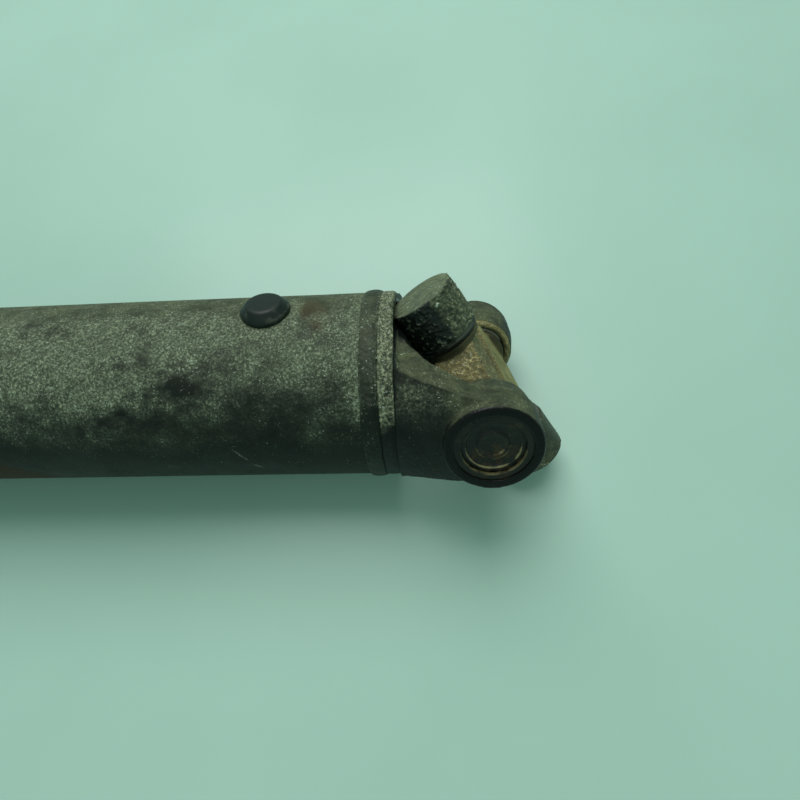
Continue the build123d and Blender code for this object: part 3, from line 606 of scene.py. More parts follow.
# ------------------------------------------------------------------ weld beads
def make_bead(name, node, x_ring, s, seed):
    """Hand-laid bead: overlapping crescents, uneven edges, a few spatter lumps."""
    segs, rows = 900, 26
    ang = np.linspace(0, 2 * np.pi, segs, endpoint=False)
    u = np.linspace(0, 1, rows)
    A, U = np.meshgrid(ang, u)
    cyl = np.stack([U * 4, 38 * np.cos(A), 38 * np.sin(A)], -1).reshape(-1, 3)
    e0 = 0.5 * fbm(np.stack([np.zeros_like(ang), 38 * np.cos(ang), 38 * np.sin(ang)], 1), 7, 3, seed=seed)
    e1 = 0.5 * fbm(np.stack([np.ones_like(ang) * 9, 38 * np.cos(ang), 38 * np.sin(ang)], 1), 6, 3, seed=seed + 1)
    xa_ = (x_ring + s * 0.9)
    xb_ = (x_ring - s * 6.3)
    X = xa_ + (xb_ - xa_) * U + s * (e0[None, :] * (1 - U) + e1[None, :] * U)
    arc = np.sqrt(np.clip(1 - (2 * U - 1) ** 2, 0, 1))
    # crescents: phase runs ahead in the middle of the bead
    ph = A * 38 / 2.7 + 1.6 * arc + 1.9 * fbm(cyl, 11, 3, seed=seed + 2).reshape(A.shape)
    saw = (ph % 1.0)
    ripple = (0.09 + 0.09 * fbm(cyl, 15, 2, seed=seed + 8).reshape(A.shape)) * ((1 - smooth(0.0, 0.85, saw)) + 0.5 * smooth(0.85, 1.0, saw))
    H = 38.05 + arc * (1.05 + 0.35 * fbm(cyl, 12, 3, seed=seed + 3).reshape(A.shape)) + ripple * arc + 0.16 * fbm(cyl, 2.2, 4, seed=seed + 4).reshape(A.shape) * arc
    for a0, u0, w, hgt in ((math.radians(17), 0.45, 2.3, 1.1), (math.radians(-20), 0.8, 1.2, 0.5), (math.radians(62), 0.3, 1.3, 0.4), (math.radians(150), 0.5, 1.8, 0.8), (math.radians(-110), 0.5, 2.0, 0.7)):
        da = (A - a0 + np.pi) % (2 * np.pi) - np.pi
        H += hgt * np.exp(-((da * 38 / w) ** 2 + ((U - u0) * 7 / (w * 0.8)) ** 2)) * arc
    H = np.where((U == 0) | (U == 1), 37.4, H)
    V = np.stack([X, -H * np.cos(A), H * np.sin(A)], -1)
    inner = np.stack([np.full(segs, xb_ + s * 0.8), -36.6 * np.cos(ang), 36.6 * np.sin(ang)], -1)[None]
    inner2 = np.stack([np.full(segs, xa_ - s * 0.8), -36.6 * np.cos(ang), 36.6 * np.sin(ang)], -1)[None]
    V = np.concatenate([V, inner, inner2], 0)
    n = V.shape[0]
    F = []
    j = np.arange(segs)
    k = (j + 1) % segs
    for i in range(n):
        a, b = i * segs, ((i + 1) % n) * segs
        q = np.stack([a + j, a + k, b + k, b + j], 1)
        F.append(q if s > 0 else q[:, ::-1])
    F = np.concatenate(F)
    P = V.reshape(-1, 3)
    th = np.degrees(np.arctan2(P[:, 2], -P[:, 1]))
    Uf = np.concatenate([U.ravel(), np.ones(segs), np.zeros(segs)])
    d = 0.25 * smooth(0, 50, th) * (1 - smooth(100, 140, th)) + 0.35 * (1 - smooth(0.0, 0.22, Uf)) * smooth(5, 30, th) + 0.3 * smooth(0.8, 1, Uf) * smooth(5, 30, th)
    wear_and_glint = 0.30 * fbm(P, 3, 3, seed=seed + 6)
    film = 0.34 * smooth(0, 70, th) * (1 - smooth(110, 150, th)) * (1 + fbm(P, 6, 3, seed=seed + 9))
    ob = mesh_obj(name, row(P), F, "shaft", [node], {"dust_and_highlight": d, "wear_and_glint": wear_and_glint, "film": film})
    dress(ob, "weld")
    return ob


make_bead("rear_bead", "rear_weld_bead", XR - 40.5, 1, 21)
make_bead("front_bead", "front_weld_bead", 253.0, -1, 31)


# ------------------------------------------------------------------ forgings
def roughen(ob, P, N, amount, scale, octaves, seed, mask):
    co = coords(ob)
    h = amount * fbm(P, scale, octaves, seed=seed) * mask
    put(ob, co + N * (h * 0.001)[:, None])


def fork_skin(node, name, x0, voxel, flip=False, turn=0.0, seed=41.0, rear=False):
    ob = forging(node, name, voxel, 3)
    if rear:
        draft_arms(ob)
    P = design(coords(ob), x0)
    N = normals(ob)
    Nd = design(N * 0.001)
    # into the fork's own frame: ears along Y, base towards -X
    Q, M_ = P.copy(), Nd.copy()
    if turn:
        c, s_ = math.cos(math.radians(-turn)), math.sin(math.radians(-turn))
        for A_ in (Q, M_):
            y, z = A_[:, 1].copy(), A_[:, 2].copy()
            A_[:, 1], A_[:, 2] = y * c - z * s_, y * s_ + z * c
    if flip:
        Q[:, 0] *= -1
        M_[:, 0] *= -1
    ry = np.hypot(Q[:, 0], Q[:, 2])
    rx = np.hypot(Q[:, 1], Q[:, 2])
    face = (1 - smooth(17.0, 17.8, ry)) * smooth(46.6, 47.6, np.abs(Q[:, 1]))
    bore = (1 - smooth(14.2, 15.2, ry)) * smooth(20, 26, np.abs(Q[:, 1]))
    boss = (1 - smooth(17.2, 17.8, ry)) * (1 - smooth(26.9, 27.6, np.abs(Q[:, 1]))) * smooth(20, 26, np.abs(Q[:, 1]))
    mach = np.clip(face + bore + boss, 0, 1)
    base = smooth(-36, -42, Q[:, 0])
    free = np.clip(1 - mach, 0, 1) * (1 - (base if not rear else 0.75 * smooth(-33.5, -34.5, Q[:, 0])))
    roughen(ob, P, N, 0.32, 13, 4, seed, free)
    roughen(ob, P, N, 0.07, 1.8, 3, seed + 1, free)
    up = N[:, 2]
    outer = smooth(36, 41, rx)
    # the cavity between the arms, used to paint shade there
    cavity_shade = (1 - smooth(33, 38, rx)) * (1 - smooth(-14, -6, Q[:, 0]))
    return ob, P, Q, Nd, M_, up, dict(face=face, bore=bore, boss=boss, outer=outer, cavity_shade=cavity_shade, ry=ry, rx=rx, base=base, free=free)


def draft_arms(ob):
    """The forging's arm sides lean: wide at the pocket, narrow at the outer face."""
    P = design(coords(ob), XR)
    x, y, z = P.T
    r, az = np.hypot(y, z), np.abs(z)
    rout = np.interp(x, (-33.6, -28.0, -22.0, -16.0, -10.6, -4.0, 4.0), (39.9, 41.6, 43.3, 45.0, 46.4, 47.4, 47.7))
    rin = np.interp(x, (-41.0, -36.5, -30.0, -22.0, -12.0, 0.0), (29.6, 32.4, 34.8, 36.8, 38.5, 39.2))
    xs = (-34.3, -32.7, -30.0, -26.0, -21.0, -16.0, -10.0, -5.0, 0.0)
    prof = np.interp(x, xs, (33.0, 28.6, 25.6, 23.5, 22.0, 20.9, 19.4, 18.1, 17.6))
    zin = np.interp(x, xs, (33.0, 31.4, 29.6, 26.9, 24.2, 22.1, 19.8, 18.2, 17.6))
    zout = np.interp(x, (-34.3, -33.0, -31.6, -24.7, -17.9, -9.8, -5.0, 0.0), (33.0, 26.8, 24.0, 21.6, 20.4, 18.8, 17.8, 17.6))
    w = np.clip((rout - r) / (rout - rin), 0, 1)
    goal = zout + (zin - zout) * w
    z0 = 10.0
    k = np.where(az > z0, (goal - z0) / (prof - z0), 1.0)
    nz = np.where(az > z0, z0 + (az - z0) * k, az)
    on = smooth(-34.4, -33.2, x) * (1 - smooth(-4.0, 0.0, x)) * (r > 20) * (np.abs(y) > 12)
    nz = az + (nz - az) * on
    ny = np.sqrt(np.clip(r ** 2 - nz ** 2, 0, None))
    Q = np.stack([x, np.sign(y) * np.where(on > 0, ny, np.abs(y)), np.sign(z) * nz], 1)
    put(ob, row(Q, XR))


def make_rear_fork():
    ob, P, Q, Nd, M_, up, k = fork_skin("rear_weld_yoke", "weld_yoke_skin", XR, 0.42, rear=True)
    th = np.degrees(np.arctan2(P[:, 2], -P[:, 1]))
    x = P[:, 0]
    ring = smooth(-41.2, -40.2, x) * (1 - smooth(-34.6, -33.9, x)) * smooth(36.8, 37.6, k["rx"])
    lip = smooth(0.45, 0.8, np.abs(M_[:, 2])) * smooth(-34, -32, x)
    topz = smooth(0.2, 0.6, up)
    d = 1.25 * ring * smooth(-2, 16, th + 6 * fbm(P, 8, 3, seed=51)) * (1 - smooth(95, 140, th)) * np.clip(1 + 1.8 * fbm(P, 3.2, 3, seed=54), 0.15, 2)
    arm = k["outer"] * smooth(-33.9, -33, x) * (1 - smooth(0.3, 0.6, np.abs(M_[:, 2])))
    d += arm * (0.72 * np.exp(-(((x + 27) / 9) ** 2 + ((th - 29) / 11) ** 2)) + 0.12 * smooth(0, 25, th) * (1 - smooth(-18, -8, x)))
    film = lip * (0.22 + 0.50 * topz) * (1 + 0.9 * fbm(P * np.array([0.35, 1.0, 1.0]), 3.0, 4, seed=56))
    ears_up = smooth(0.55, 0.9, up) * (k["ry"] > 15.5) * smooth(-18, -12, x)
    film = np.maximum(film, 0.72 * ears_up) * (1 + 0.4 * fbm(P, 5, 3, seed=55))
    d += 0.34 * film * (1 + 0.8 * fbm(P, 6, 3, seed=57))
    clean = 1 - np.clip(k["face"] + k["bore"], 0, 1)
    d *= clean
    # painted shade in the cavity: no dust, little film, near-black; the ear faces and bores are greasy
    film = film * clean * (1 - 0.9 * k["cavity_shade"]) + 0.35 * k["boss"] * (1 - k["bore"])
    grease_and_shade = 0.75 * k["face"] + 0.75 * k["bore"] + 0.8 * k["cavity_shade"]
    d *= 1 - 0.9 * k["cavity_shade"]
    wear_and_glint = 0.38 * np.exp(-((k["ry"] - 17.2) / 0.45) ** 2) * smooth(47.0, 47.9, np.abs(Q[:, 1])) * (0.7 + fbm(P, 6, 3, seed=52))
    rust = 0.25 * smooth(0.3, 0.8, fbm(P, 12, 3, seed=53)) * (1 - k["face"])
    set_attr(ob, "dust_and_highlight", d)
    set_attr(ob, "film", film)
    set_attr(ob, "grease_and_shade", grease_and_shade)
    set_attr(ob, "wear_and_glint", wear_and_glint)
    set_attr(ob, "rust", rust)
    dress(ob, "fork")
    return ob


make_rear_fork()


def make_front_fork(node, name, flip, turn, seed):
    ob, P, Q, Nd, M_, up, k = fork_skin(node, name, XF, 0.6, flip=flip, turn=turn, seed=seed)
    d = 0.55 * smooth(0.35, 0.95, up) + 0.15 * fbm(P, 14, 3, seed=seed + 3)
    d += 0.35 * np.exp(-((k["rx"] - 30) / 6) ** 2) * smooth(0.2, 0.9, up) * smooth(-60, -48, Q[:, 0]) * (1 - smooth(-48, -36, Q[:, 0]))
    d *= 1 - np.clip(k["face"] + k["bore"], 0, 1) * 0.8
    # grease in the ear bores, and painted shade: near-black in the cavity and on downward faces
    grease_and_shade = 0.55 * k["bore"] + 0.35 * k["cavity_shade"] + 0.5 * smooth(0.35, 0.7, fbm(P, 30, 3, seed=seed + 5)) * smooth(0.2, -0.6, up)
    rust = 0.45 * smooth(0.25, 0.7, fbm(P, 20, 4, seed=seed + 4))
    wear_and_glint = 0.35 * k["face"] * (0.6 + fbm(P, 9, 3, seed=seed + 6))
    flg = smooth(-53.0, -53.6, Q[:, 0]) * (0.0 if flip else 1.0)
    wear_and_glint = np.maximum(wear_and_glint, 0.55 * flg)
    for kx, vals in (("dust_and_highlight", d * (1 - flg)), ("grease_and_shade", grease_and_shade), ("wear_and_glint", wear_and_glint), ("rust", rust)):
        set_attr(ob, kx, vals)
    dress(ob, "fork")
    return ob


make_front_fork("slip_yoke", "slip_yoke_skin", True, 0.0, 61.0)
make_front_fork("flange_yoke", "flange_yoke_skin", False, 90.0, 71.0)


# ------------------------------------------------------------------ bearing cups
CUP = [(42.5, 0.01), (42.5, 6.0), (42.5, 11.9), (42.3, 11.95), (28.2, 11.95), (27.55, 12.0), (27.5, 12.2), (27.5, 13.1), (27.62, 13.38), (27.9, 13.5)]
CUP += [(t, 13.5) for t in np.linspace(28.3, 44.9, 42)] + [(45.25, 13.47), (45.55, 13.36), (45.8, 13.12), (45.95, 12.8), (46.0, 12.4)]
CUP += [(46.0, r) for r in np.linspace(12.0, 9.75, 6)] + [(45.9, 9.5), (45.6, 9.3), (45.32, 9.1), (45.22, 8.8), (45.2, 8.3), (45.2, 7.4), (45.2, 6.4),
        (45.3, 5.95), (45.55, 5.75), (45.72, 5.5), (45.75, 5.1), (45.72, 4.6), (45.5, 4.3), (45.25, 4.05), (45.2, 3.6), (45.2, 2.4), (45.2, 1.2), (45.2, 0.01)]


def frame_of(axis, side):
    z = Vector(axis).normalized()
    x = Vector(side)
    x = (x - x.dot(z) * z).normalized()
    y = z.cross(x)
    return np.array([x, y, z])


NN = (math.cos(math.radians(TILT)), 0.0, math.sin(math.radians(TILT)))
UPV = (-math.sin(math.radians(TILT)), 0.0, math.cos(math.radians(TILT)))
DNV = tuple(-v for v in UPV)
CUPS = {
    "near": ((0, -1, 0), (0, 0, 1)), "far": ((0, 1, 0), (0, 0, 1)),
    "upper": (UPV, (0, -1, 0)), "lower": (DNV, (0, -1, 0)),
    "z+": ((0, 0, 1), (0, -1, 0)), "z-": ((0, 0, -1), (0, -1, 0)),
}


def cup_geo(key, x0, seed, fill=0.0):
    """Vertices in design mm, faces, and local cylinder values (t, r, angle)."""
    V, F = lathe([(a, r) for a, r in CUP], 220, axis="z")
    F = F[:, ::-1]
    r = np.hypot(V[:, 0], V[:, 1])
    ang = np.degrees(np.arctan2(V[:, 1], V[:, 0]))
    t = V[:, 2].copy()
    if fill:
        z = np.clip(t, None, 46.2)
        inside = (1 - smooth(8.9, 10.2, r)) * (t > 45.0)
        lvl = 45.2 + fill * (0.72 + 0.14 * fbm(V, 6, 3, seed=seed))
        z = np.where(inside > 0, np.maximum(t, 45.2 + (lvl - 45.2) * inside), t)
        V[:, 2] = z
    R = frame_of(*CUPS[key])
    D = V @ R
    D[:, 0] += 0.0
    return D, F, t, r, ang


def make_cup(name, keys, x0, body, nodes, mat, seed, paint, fill=0.0):
    Vs, Fs, at = [], [], {"dust_and_highlight": [], "grease_and_shade": [], "rust": [], "wear_and_glint": [], "film": []}
    off = 0
    for key in keys:
        D, F, t, r, ang = cup_geo(key, x0, seed, fill)
        vals = paint(key, D, t, r, ang)
        for q in at:
            at[q].append(vals.get(q, np.zeros(len(D))))
        outer = (r > 12.3) & (t > 28)
        # shallow pitting and crust on the exposed walls
        h = vals.get("crust", np.zeros(len(D)))
        Nn = D - (D @ np.array(Vector(CUPS[key][0]).normalized()))[:, None] * np.array(Vector(CUPS[key][0]).normalized())[None]
        Nn /= np.maximum(np.linalg.norm(Nn, axis=1), 1e-6)[:, None]
        D = D + Nn * (h * outer)[:, None]
        Vs.append(row(D, x0))
        Fs.append(F + off)
        off += len(D)
    ob = mesh_obj(name, np.concatenate(Vs), np.concatenate(Fs), body, nodes, {q: np.concatenate(v) for q, v in at.items()}, sharp=50)
    dress(ob, mat)
    return ob


def paint_upper(key, D, t, r, ang):
    # angle 0 faces the near ear, positive towards the open side
    a = ang
    n1 = fbm(D, 7, 4, seed=81)
    n2 = fbm(D, 2.2, 3, seed=82)
    end = np.clip(smooth(45.6, 46.0, t) + (t > 45.1) * (r < 12.5), 0, 1)
    rough_side = smooth(8, 30, a + 14 * n1) * (1 - smooth(150, 175, a))
    black = 1 - rough_side
    wall = 1 - end
    n3 = fbm(D, 1.2, 3, seed=85)
    folds = np.abs(fbm(D * np.array([1.0, 1.0, 1.0]), 4.5, 4, seed=84))
    d = 0.42 * end * (1 + 0.8 * n1) + wall * rough_side * (0.52 + 1.3 * fbm(D, 3.0, 3, seed=83) + 1.8 * n3) + wall * black * 0.42 * smooth(0.35, 0.75, n2 + 0.3 * n1)
    film = 0.85 * end * (1 + 0.4 * n1) + wall * rough_side * 0.50 * (1 + 0.7 * n1 + 0.5 * n3)
    # near-black and glossy on the side towards the near ear
    grease_and_shade = wall * black * (0.9 - 1.6 * smooth(0.08, 0.40, n2 + 0.6 * n3 + 0.25 * n1))
    rust = wall * rough_side * (0.12 + 0.35 * smooth(0.0, 0.5, n1)) + 0.04 * end
    # bright scuffs on that side: worn metal, partly painted glints
    wear_and_glint = wall * black * smooth(0.10, 0.42, n2 + 0.6 * n3 + 0.3 * smooth(0.08, 0.0, folds)) * 0.6
    crust = wall * (rough_side * (0.24 + 0.6 * n2 + 0.3 * n1 + 0.8 * n3) + black * (0.25 * n3 + 0.25 * n2 + 0.34 * (1 - smooth(0.0, 0.10, folds))))
    return dict(dust_and_highlight=d, film=film, grease_and_shade=grease_and_shade, rust=rust, wear_and_glint=wear_and_glint, crust=np.clip(crust, -0.25, 0.8))


def paint_lower(key, D, t, r, ang):
    n1 = fbm(D, 7, 4, seed=91)
    n2 = fbm(D, 1.8, 3, seed=92)
    d = 0.10 + 0.30 * n2 + 0.16 * smooth(38, 46, t) + 0.1 * n1
    return dict(dust_and_highlight=d, grease_and_shade=0.25 * (1 - smooth(30, 40, t)), rust=0.05 + 0 * t, film=0.14 + 0.2 * n1, wear_and_glint=0 * t, crust=0.25 * smooth(0.0, 0.7, n2) * smooth(34, 44, t))


def paint_near(key, D, t, r, ang):
    n2 = fbm(D, 3.0, 3, seed=95)
    # painted highlights: glints on the rings and rust-coloured patches, in the lower half; a faint ring of worn metal
    # all round
    glint_half = smooth(0.25, -0.45, np.cos(np.radians(ang))) * (0.6 + fbm(D, 5, 3, seed=96))
    glint = (np.exp(-((r - 9.6) / 0.30) ** 2) + 0.8 * np.exp(-((r - 5.9) / 0.30) ** 2) + 0.5 * np.exp(-((r - 4.2) / 0.3) ** 2)) * (t > 44)
    return dict(dust_and_highlight=0.02 + 0.10 * n2, grease_and_shade=0.35 - 0.5 * n2, rust=0.10 + 0.3 * n2 + 0.25 * (r < 9) * glint_half, wear_and_glint=1.1 * glint * glint_half + 0.22 * glint, crust=0 * t)


def paint_plain(key, D, t, r, ang):
    n1 = fbm(D, 8, 4, seed=97)
    return dict(dust_and_highlight=0.20 + 0.2 * n1, grease_and_shade=0.25 * smooth(0.1, 0.6, n1), rust=0.2 + 0.25 * n1, wear_and_glint=0 * t, crust=0 * t)


make_cup("upper_cup_shell", ["upper"], XR, "rear_cup_upper", ["rear_free_cup_upper"], "cup", 81, paint_upper, fill=0.95)
make_cup("lower_cup_shell", ["lower"], XR, "rear_cup_lower", ["rear_free_cup_lower"], "cup", 82, paint_lower, fill=0.6)
make_cup("near_cup_shell", ["near"], XR, "shaft", ["rear_bearing_cup_near"], "bore", 83, paint_near)
make_cup("far_cup_shell", ["far"], XR, "shaft", ["rear_bearing_cup_far"], "bore", 84, paint_near)
make_cup("slip_side_cup_shells", ["near", "far"], XF, "slip_yoke", ["front_slip_side_cups"], "bore", 85, paint_near)
make_cup("flange_side_cup_shells", ["z+", "z-"], XF, "flange_yoke", ["front_flange_side_cups"], "bore", 86, paint_near)


# ------------------------------------------------------------------ snap rings at the bare cross
def make_clips():
    ro, ri, z0_, z1_, c = 14.4, 11.3, 46.1, 47.6, 0.22
    rm, hw = (ro + ri) / 2, (ro - ri) / 2
    Vs, Fs, wear_glint, off = [], [], [], 0
    for sgn, centre, gap in ((-1, 112.0, 36.0), (1, 160.0, 42.0)):
        n = 260
        h = gap / 2
        tip = math.degrees(hw / rm)
        ph = np.linspace(h - tip, 360 - h + tip, n)
        # the width tapers to a round nose at each tip
        e = np.minimum(ph - ph[0], ph[-1] - ph) / tip
        wid = hw * np.sqrt(np.clip(1 - (1 - np.clip(e, 0, 1)) ** 2, 0.0004, 1))
        e_ = c / hw
        prof = [(-1, z0_ + c), (-1 + e_, z0_), (1 - e_, z0_), (1, z0_ + c), (1, z1_ - c), (1 - e_, z1_), (0.72, z1_), (0.4, z1_), (0, z1_), (-0.4, z1_), (-0.6, z1_), (-0.75, z1_), (-1 + e_, z1_), (-1, z1_ - c)]
        a = np.radians(ph + centre)
        rr = rm + np.outer([p[0] for p in prof], wid)
        zz = np.repeat(np.array([p[1] for p in prof])[:, None], n, 1)
        X, Y = rr * np.cos(a), rr * np.sin(a)
        # drawn facing +Z, then turned onto the ear
        L = np.stack([X, Y, zz], -1).reshape(-1, 3)
        D = np.stack([L[:, 0], sgn * L[:, 2], -sgn * L[:, 1]], 1)
        m_ = len(prof)
        i = np.arange(n - 1)
        for q in range(m_):
            q2 = (q + 1) % m_
            Fs += [(off + q * n + j, off + q * n + j + 1, off + q2 * n + j + 1, off + q2 * n + j) for j in i]
        Fs.append(tuple(off + q * n for q in range(m_)))
        Fs.append(tuple(off + q * n + n - 1 for q in reversed(range(m_))))
        Vs.append(D)
        # painted highlights: glints along the inner and outer edges, mostly in the lower half
        glint_half = smooth(0.25, -0.45, D[:, 2] / np.hypot(D[:, 0], D[:, 2]))
        edge_glint = np.exp(-((rr.ravel() - ri) / 0.32) ** 2) + 0.6 * np.exp(-((rr.ravel() - ro) / 0.28) ** 2)
        wear_glint.append(edge_glint * glint_half * (0.6 + 0.9 * fbm(D, 4, 3, seed=87)) + 0.10 * edge_glint)
        off += len(D)
    ob = mesh_obj("snap_ring_pair", row(np.concatenate(Vs), XR), Fs, "shaft", ["rear_snap_rings"], {"wear_and_glint": np.zeros(off)}, sharp=35)
    bm = bmesh.new()
    bm.from_mesh(ob.data)
    bmesh.ops.recalc_face_normals(bm, faces=bm.faces)
    bm.to_mesh(ob.data)
    bm.free()
    wear_glint = np.concatenate(wear_glint)
    set_attr(ob, "wear_and_glint", wear_glint)
    set_attr(ob, "grease_and_shade", 0.3 - wear_glint)
    set_attr(ob, "rust", 0.05 + 0.25 * fbm(np.concatenate(Vs), 6, 3, seed=88))
    dress(ob, "clip")


make_clips()


# ------------------------------------------------------------------ crosses
def make_cross(node, name, x0, tilt, seed, heavy):
    ob = forging(node, name, 0.4, 3)
    P = design(coords(ob), x0)
    N = normals(ob)
    Nd = design(N * 0.001)
    c, s_ = math.cos(math.radians(tilt)), math.sin(math.radians(tilt))
    # local axes: A1 along Y, A2 along the free trunnions, NN across the faces
    n_ = P[:, 0] * c + P[:, 2] * s_
    z_ = -P[:, 0] * s_ + P[:, 2] * c
    y_ = P[:, 1]
    nn = Nd[:, 0] * c + Nd[:, 2] * s_
    ty, tz = np.hypot(n_, z_), np.hypot(n_, y_)
    trun = np.clip((1 - smooth(9.8, 10.2, ty)) * smooth(24, 25, np.abs(y_)) + (1 - smooth(9.8, 10.2, tz)) * smooth(24, 25, np.abs(z_)), 0, 1)
    should = np.clip((1 - smooth(12.3, 12.6, ty)) * smooth(20.5, 21.5, np.abs(y_)) + (1 - smooth(12.3, 12.6, tz)) * smooth(20.5, 21.5, np.abs(z_)), 0, 1)
    free = (1 - trun) * (1 - should)
    u, v = (y_ - z_) / math.sqrt(2), (y_ + z_) / math.sqrt(2)
    # one face: a flat rim on one side of the diagonal, a sunk pocket on the other
    zone = smooth(22.6, 20.6, np.maximum(np.abs(y_), np.abs(z_))) * (n_ > 5.0) * (1.0 if heavy > 0.9 else 0.0)
    side = smooth(-0.22, 0.22, u)
    target = 7.7 + 1.5 * side
    shift = zone * (np.minimum(n_, target) - n_) + zone * side * ((n_ > 8.2) & (n_ < 9.2)) * (9.2 - n_)
    rim = zone * side * (n_ + shift > 8.9)
    pocket = zone * (1 - side) * (n_ + shift > 7.2)
    axis_n = np.array([c, 0.0, s_])
    put(ob, row(P + shift[:, None] * axis_n, x0))
    P = P + shift[:, None] * axis_n
    N = normals(ob)
    Nd = design(N * 0.001)
    nn = Nd[:, 0] * c + Nd[:, 2] * s_
    strip = smooth(0.6, 0.85, nn) * rim
    cake = heavy * free * (1 - strip) * smooth(-0.35, 0.35, N[:, 2])
    n1, n2 = fbm(P, 8, 4, seed=seed), fbm(P, 1.6, 3, seed=seed + 1)
    h = 0.18 * n1 * free * (1 - 0.7 * strip) + cake * (0.5 + 0.45 * n1 + 0.36 * n2)
    h = np.clip(h, -0.5, 1.3) * (1 - 0.3 * pocket)
    put(ob, coords(ob) + N * (h * 0.001)[:, None])
    # dust caked on the free faces, thinned in the pocket as painted shade, and a painted highlight: a pale line along
    # the rim's edge
    d = cake * (0.62 + 0.75 * n2 + 0.3 * n1) * (1 - 0.25 * pocket) + 0.10 * strip + 0.9 * strip * np.exp(-((u - 0.35) / 0.35) ** 2) * smooth(2, 8, v)
    film = 0.98 * strip + 0.30 * free * (1 - strip) * smooth(-0.2, 0.8, N[:, 2])
    set_attr(ob, "dust_and_highlight", d * (1 - trun))
    set_attr(ob, "film", film * (1 - trun))
    set_attr(ob, "rust", 0.05 + 0.35 * cake * smooth(0.0, 0.6, n1) * (1 - strip))
    # grease on the trunnions, and painted shade: near-black on downward faces
    set_attr(ob, "grease_and_shade", 0.6 * trun + 0.35 * (1 - smooth(-0.7, -0.1, N[:, 2])) * free)
    set_attr(ob, "wear_and_glint", 0.0 * h)
    dress(ob, "cross")
    return ob


def make_collar():
    """Road dirt packed round the seal, against the inside of the far ear."""
    prof = [(26.6, 12.9), (25.6, 13.2), (25.2, 13.7), (25.0, 14.3), (25.2, 14.9), (25.6, 15.4), (26.1, 15.8), (26.6, 15.9)]
    fine = []
    for (a0, r0), (a1, r1) in zip(prof, prof[1:] + prof[:1]):
        for q in range(3):
            fine.append((a0 + (a1 - a0) * q / 3, r0 + (r1 - r0) * q / 3))
    V, F = lathe(fine, 240, axis="z", closed=True)
    rr = np.hypot(V[:, 0], V[:, 1])
    out = smooth(26.5, 25.6, V[:, 2])
    n1, n2 = fbm(V, 7, 3, seed=141), fbm(V, 1.8, 3, seed=142)
    V2 = V.copy()
    V2[:, 2] -= out * (0.4 * n1 + 0.25 * n2)
    k = 1 + out * (0.3 * n1 + 0.2 * n2) / np.maximum(rr, 1) * np.sign(rr - 14.7)
    V2[:, 0] *= k
    V2[:, 1] *= k
    D = V2 @ frame_of(*CUPS["far"])
    ob = mesh_obj("packed_dirt", row(D, XR), F, "shaft", (), {"dust_and_highlight": 0.45 + 0.6 * n2, "film": 0.55 + 0.4 * n1})
    bm = bmesh.new()
    bm.from_mesh(ob.data)
    bmesh.ops.recalc_face_normals(bm, faces=bm.faces)
    bm.to_mesh(ob.data)
    bm.free()
    dress(ob, "cross")


make_collar()
make_cross("rear_cross", "rear_cross_skin", XR, TILT, 101.0, 1.0)
make_cross("front_cross", "front_cross_skin", XF, 0.0, 111.0, 0.45)


# ------------------------------------------------------------------ rubber plug
def make_plug():
    prof = [(31.0, 0.01), (31.0, 4.6), (31.6, 5.7), (34.1, 8.2), (34.7, 8.15), (35.0, 7.2), (36.3, 6.95), (36.6, 7.4), (36.75, 8.6), (37.0, 9.2), (37.5, 9.45),
            (38.1, 9.5), (38.7, 9.42), (39.2, 9.2), (39.8, 8.8), (40.4, 8.35), (41.0, 7.9), (41.5, 7.5), (41.95, 7.1), (42.25, 6.65), (42.4, 6.1), (42.46, 5.3),
            (42.46, 4.2), (42.44, 2.8), (42.42, 1.4), (42.42, 0.01)]
    V, F = lathe(prof, 144, axis="z")
    F = F[:, ::-1]
    lat = V[:, 1]
    r = np.hypot(V[:, 0], V[:, 1])
    # the skirt of the head follows the round of the tube
    drop = TUBE_R - np.sqrt(np.clip(TUBE_R ** 2 - lat ** 2, 0, None))
    head = smooth(36.0, 36.8, V[:, 2]) * (1 - smooth(38.4, 41.6, V[:, 2]))
    V[:, 2] += np.where(V[:, 2] > 36.0, 1.0 * head, 0)
    V[:, 2] -= drop * head * smooth(6.9, 7.5, r)
    V[:, 2] += 0.10 * fbm(V, 9, 3, seed=121) * (V[:, 2] > 38)
    a = math.radians(78.0)
    pv = np.array([0, -math.cos(a), math.sin(a)])
    R = np.array([[1, 0, 0], np.cross(pv, [1, 0, 0]), pv])
    D = V @ R
    ob = mesh_obj("plug_moulding", row(D, XR - 83.2), F, "shaft", ["tube_plug"], {"dust_and_highlight": 0.26 * np.exp(-((np.hypot(V[:, 0], V[:, 1]) - 9.2) / 0.5) ** 2) * smooth(0.1, 0.7, V[:, 0] / 9.5) + 0.22 * smooth(0.4, 0.8, fbm(V, 5, 3, seed=122))}, sharp=60)
    dress(ob, "plug")
    return ob


make_plug()


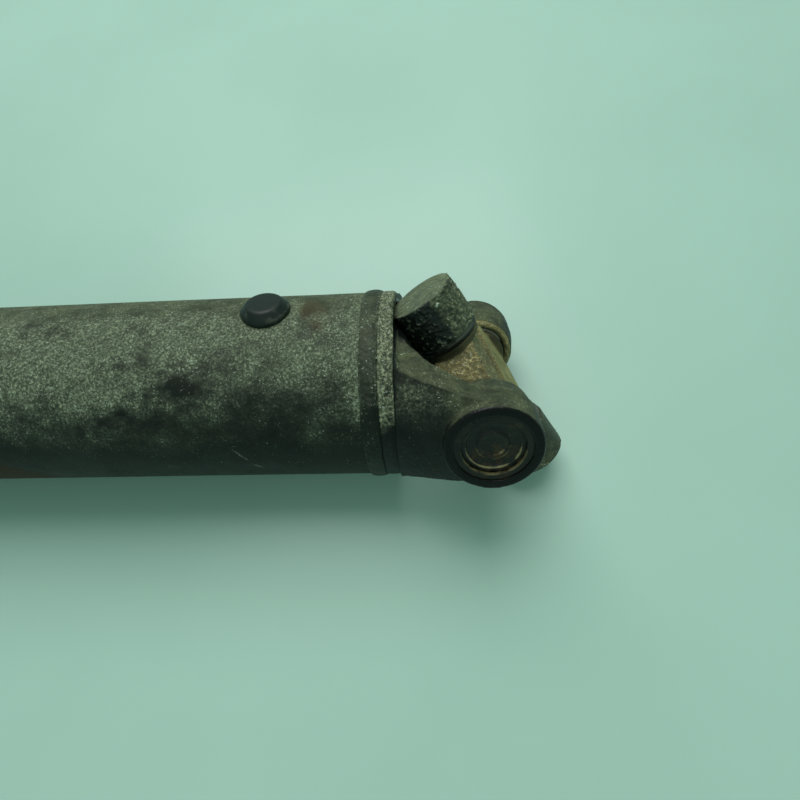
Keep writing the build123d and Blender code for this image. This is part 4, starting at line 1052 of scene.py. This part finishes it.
# ------------------------------------------------------------------ camera, floor and light
cam = bpy.data.cameras.new("camera")
cam.sensor_width = 36.0
cam.lens = 499.0 / 800.0 * 36.0
cam.clip_start = 0.005
cam_ob = bpy.data.objects.new("camera", cam)
SC.collection.objects.link(cam_ob)
C = row(np.array([[-19.7306, -184.8828, 105.6505]]), XR)[0]
AX = [row(np.array([v]))[0] * 1000 for v in ((0.99724483, 0.04600218, -0.05819399), (-0.0252279, -0.52741055, -0.84923593), (-0.06975883, 0.84836426, -0.52479691))]
m = Matrix.Identity(4)
for i in range(3):
    m[i][0], m[i][1], m[i][2], m[i][3] = AX[0][i], -AX[1][i], -AX[2][i], C[i]
cam_ob.matrix_world = m
SC.camera = cam_ob
SC.view_settings.view_transform = "Standard"

FLOOR = Mat("floor_lacquer")
fn = FLOOR.noise(6, 4, 0.5)
fcol = FLOOR.mix(FLOOR.step(fn, 0.35, 0.65), lin(180, 212, 200), lin(184, 216, 204))
FLOOR.link(fcol, FLOOR.b.inputs["Base Color"])
FLOOR.b.inputs["Roughness"].default_value = 0.32
FLOOR.b.inputs["Specular IOR Level"].default_value = 0.35
xa, za, xb, zb = 0.004, -0.0494, 0.556, -0.0417
sl = (zb - za) / (xb - xa)
V = []
for x in (-6.0, 6.5):
    for y in (-6.0, 6.0):
        V.append((x, y, za + (x - xa) * sl))
me = bpy.data.meshes.new("floor")
me.from_pydata(V, [], [(0, 2, 3, 1)])
floor = bpy.data.objects.new("floor", me)
SC.collection.objects.link(floor)
floor.data.materials.append(FLOOR.m)


def area(name, loc, target, size, energy, col=(1, 1, 1), size_y=None):
    l = bpy.data.lights.new(name, "AREA")
    l.energy = energy
    l.color = col
    l.shape = "RECTANGLE"
    l.size = size
    l.size_y = size_y or size
    o = bpy.data.objects.new(name, l)
    o.location = loc
    o.rotation_euler = (Vector(target) - Vector(loc)).to_track_quat("-Z", "Y").to_euler()
    SC.collection.objects.link(o)
    return o


MID = (0.46, 0.0, 0.0)
area("key", (0.30, 0.75, 1.35), MID, 1.2, 17.0, (1.0, 1.0, 0.98))
area("fill", (0.2, -1.0, 1.1), MID, 1.6, 1.4, (0.93, 1.0, 0.98))
w = bpy.data.worlds.new("studio")
SC.world = w
w.use_nodes = True
bg = w.node_tree.nodes["Background"]
bg.inputs[0].default_value = (0.60, 0.99, 0.84, 1)
bg.inputs[1].default_value = 0.33
